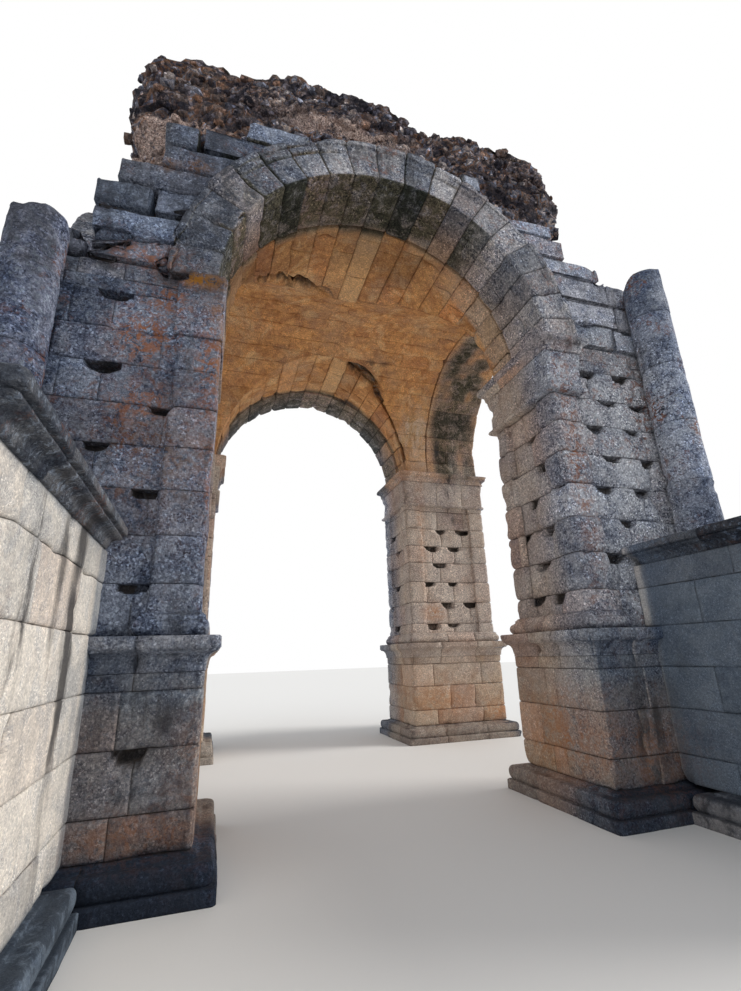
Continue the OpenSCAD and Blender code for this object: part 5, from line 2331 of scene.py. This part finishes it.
@dataclass(frozen=True)
class Studio:
    """Camera at the picture's place, pale floor and soft light.

    Args:
        at: place of the camera.
        focal: focal length in the picture's pixels.
        yaw: turn of the view from straight ahead to the right.
        pitch: rise of the view.
        roll: turn of the picture, clockwise.
        sky: strength of the light from all round.
        key: strength of the key light.
    """
    at: tuple[float, float, float] = (-1.96705, -7.28930, 1.68829)
    focal: float = 490.04
    yaw: float = 0.31173
    pitch: float = 0.31380
    roll: float = -0.03215
    sky: float = 0.75
    key: float = 2.3

    def camera(self) -> None:
        """Makes the camera.

        The view's axis is turned by the yaw and raised by the pitch, and the
        picture is then rolled round it.
        """
        data = bpy.data.cameras.new("view")
        data.sensor_fit, data.sensor_width = "AUTO", 36.0
        data.lens = 36.0 * self.focal / max(PICTURE)
        data.clip_end = 200.0
        camera = bpy.data.objects.new("view", data)
        ahead = Vector((math.sin(self.yaw), math.cos(self.yaw), 0))
        right = Vector((math.cos(self.yaw), -math.sin(self.yaw), 0))
        level = Vector((0, 0, 1))
        look = math.cos(self.pitch) * ahead + math.sin(self.pitch) * level
        up = math.cos(self.pitch) * level - math.sin(self.pitch) * ahead
        across = math.cos(self.roll) * right + math.sin(self.roll) * up
        top = math.cos(self.roll) * up - math.sin(self.roll) * right
        turn = Matrix((across, top, -look)).transposed().to_4x4()
        camera.matrix_world = Matrix.Translation(self.at) @ turn
        bpy.context.scene.collection.objects.link(camera)
        bpy.context.scene.camera = camera

    def floor(self) -> None:
        """Makes the plain pale floor."""
        mesh = bpy.data.meshes.new("floor")
        s = 60.0
        mesh.from_pydata([(-s, -s, 0), (s, -s, 0), (s, s, 0), (-s, s, 0)], [], [(0, 1, 2, 3)])
        item = bpy.data.objects.new("floor", mesh)
        bpy.context.scene.collection.objects.link(item)
        mesh.materials.append(Graph("pale_floor").coat((0.80, 0.79, 0.77), 0.9, 0.1))

    def light(self) -> None:
        """Makes the soft key light and the white surroundings."""
        sun = bpy.data.lights.new("key", "SUN")
        sun.energy, sun.angle, sun.color = self.key, math.radians(22), (1.0, 0.965, 0.92)
        lamp = bpy.data.objects.new("key", sun)
        lamp.rotation_euler = Vector((0.88, -0.17, 0.48)).to_track_quat("Z", "Y").to_euler()
        bpy.context.scene.collection.objects.link(lamp)
        world = bpy.data.worlds.new("surroundings")
        bpy.context.scene.world = world
        world.use_nodes = True
        tree = world.node_tree
        tree.nodes.clear()
        path = tree.nodes.new("ShaderNodeLightPath")
        seen = path.outputs["Is Camera Ray"]
        for ray in ("Is Glossy Ray", "Is Transmission Ray"):
            both = tree.nodes.new("ShaderNodeMath")
            both.operation, both.use_clamp = "ADD", True
            tree.links.new(seen, both.inputs[0])
            tree.links.new(path.outputs[ray], both.inputs[1])
            seen = both.outputs[0]
        mix, output = tree.nodes.new("ShaderNodeMixShader"), tree.nodes.new("ShaderNodeOutputWorld")
        tree.links.new(seen, mix.inputs[0])
        for key, colour, strength in ((1, (0.93, 0.96, 1.0, 1), self.sky), (2, (1, 1, 1, 1), 1.0)):
            plain = tree.nodes.new("ShaderNodeBackground")
            plain.inputs["Color"].default_value, plain.inputs["Strength"].default_value = colour, strength
            tree.links.new(plain.outputs[0], mix.inputs[key])
        tree.links.new(mix.outputs[0], output.inputs["Surface"])
        bpy.context.scene.view_settings.view_transform = "Standard"


def piers() -> list[Pier]:
    """The four piers, with what the picture shows of each.

    Returns:
        The piers.
    """
    left = {2.34: (2.66,), 3.21: (2.63,), 3.64: (3.10,), 4.07: (2.58,), 4.50: (3.15,), 5.34: (3.13,)}
    left_jamb = {3.21: (2.55,), 4.07: (2.8,), 4.90: (2.5,)}
    right = {2.775: (2.69,), 3.21: (2.97,), 3.64: (2.72, 3.31), 4.07: (2.91, 3.50), 4.50: (2.74, 3.33),
             4.90: (3.00, 3.53), 5.34: (2.76, 3.32)}
    right_jamb = {2.34: (2.39, 2.83), 2.775: (2.61,), 3.21: (2.31, 2.83), 3.64: (2.60,), 4.07: (2.88,),
                  4.50: (2.71,), 5.34: (2.60,)}
    flank = {2.775: (2.72,), 3.21: (3.10,), 3.64: (2.62, 3.35), 4.50: (2.95,), 4.90: (3.30,)}
    rear = {2.73: (2.85,), 3.17: (2.62,), 3.60: (3.05,), 4.38: (2.66,), 4.80: (3.12,), 5.22: (2.70,)}
    rear_jamb = {2.28: (2.89,), 2.73: (3.04,), 3.17: (2.76,), 3.60: (3.03,), 3.98: (2.66,), 4.38: (2.93,)}
    rear_flank = {2.28: (2.57, 3.08), 2.73: (2.96, 3.49), 3.17: (2.54, 3.13), 3.60: (2.84,),
                  3.98: (2.67, 3.22), 4.38: (2.92, 3.45)}
    rear_rest = (rear, rear_jamb, rear_flank, 1.0, Wear(joint=0.022, open=0.013, vary=0.7),
                 (1.89, 2.28, 2.73, 3.17, 3.60, 3.98, 4.38, 4.80, 5.22, 5.49))
    return [
        Pier(Quarter.FRONT_LEFT, 5.87, 5.87,
             ((.902, .14), (.871, .225), (.827, .42), (.723, .555), (.495, .82), (.27, .97), (.104, 1.018)),
             left, left_jamb, flank, 0.15, Wear(joint=0.013, open=0.005, waves=0.028, rough=0.013)),
        Pier(Quarter.FRONT_RIGHT, 5.87, 6.96,
             ((.906, .45), (.819, .50), (.68, .557), (.638, .685), (.47, .78), (.36, .89), (.154, 1.012)),
             right, right_jamb, flank, 1.0,
             Wear(joint=0.036, open=0.024, edge=0.055, waves=0.026, chips=0.06)),
        Pier(Quarter.REAR_LEFT, 4.40, 6.42,
             ((.91, .33), (.80, .44), (.69, .60), (.50, .80), (.30, .95), (.12, 1.015)), *rear_rest),
        Pier(Quarter.REAR_RIGHT, 4.40, 6.18,
             ((.90, .24), (.82, .38), (.70, .56), (.52, .76), (.34, .93), (.14, 1.02)), *rear_rest),
    ]


def finishes() -> dict[str, bpy.types.Material]:
    """One finish for each slot of the record.

    Returns:
        The materials by slot.
    """
    stones = (
        Granite("base_stone", (0.056, 0.066, 0.085), (0.190, 0.210, 0.245), (0.36, 0.295, 0.235),
                (0.27, 0.195, 0.145), (0.46, 0.40, 0.33), lichen=0.5, speckle=0.65, grain=70, relief=0.009),
        Granite("podium_stone", (0.140, 0.148, 0.170), (0.390, 0.395, 0.395), (0.55, 0.395, 0.255),
                (0.45, 0.275, 0.150), (0.67, 0.54, 0.40), lichen=0.5, speckle=0.65, grain=66, relief=0.009),
        Granite("cap_stone", (0.130, 0.150, 0.185), (0.410, 0.425, 0.450), speckle=0.7, grain=60,
                relief=0.012),
        Granite("shaft_stone", (0.122, 0.142, 0.185), (0.445, 0.472, 0.530), grain=52),
        Granite("impost_stone", (0.140, 0.152, 0.190), (0.400, 0.405, 0.430), (0.60, 0.40, 0.245), grain=52),
        Granite("pedestal_stone", (0.420, 0.405, 0.380), (0.660, 0.620, 0.560), lichen=0.2, speckle=0.34,
                grain=120, relief=0.005),
        Granite("cornice_stone", (0.075, 0.080, 0.092), (0.310, 0.298, 0.282), crust=0.9, lichen=1.3,
                speckle=0.62, grain=105, relief=0.006),
        # blue grey, partly painted sky-lit shade
        Granite("column_stone", (0.098, 0.128, 0.195), (0.420, 0.465, 0.570), lichen=1.6, grain=52),
        Granite("arch_stone", (0.155, 0.165, 0.190), (0.450, 0.440, 0.450), (0.65, 0.375, 0.180),
                (0.47, 0.245, 0.115), (0.74, 0.52, 0.30), lichen=0.9, grain=50),
        Granite("vault_stone", (0.290, 0.225, 0.165), (0.560, 0.450, 0.340), (0.710, 0.365, 0.140),
                (0.500, 0.235, 0.095), (0.780, 0.505, 0.255), speckle=0.55, grain=52),
        # blue grey, partly painted sky-lit shade
        Granite("haunch_stone", (0.120, 0.148, 0.200), (0.420, 0.465, 0.560), speckle=0.8, grain=50),
        Rubble("rubble"))
    return {stone.name: stone.make() for stone in stones}


def main() -> None:
    """Builds the camera, every sub-assembly and the light, in that order."""
    logging.basicConfig(level=logging.INFO, format="%(name)s: %(message)s")
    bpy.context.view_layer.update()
    studio = Studio()
    studio.camera()
    yard = Yard(finishes())
    for pier in piers():
        pier.build(yard)
    for ring in (Ring("front_arch", Way.MAIN, -1), Ring("rear_arch", Way.MAIN, 1),
                 Ring("left_arch", Way.CROSS, -1), Ring("right_arch", Way.CROSS, 1)):
        ring.build(yard)
    Vault().build(yard)
    Core().build(yard)
    studio.floor()
    studio.light()
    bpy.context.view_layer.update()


if __name__ == "__main__":
    main()
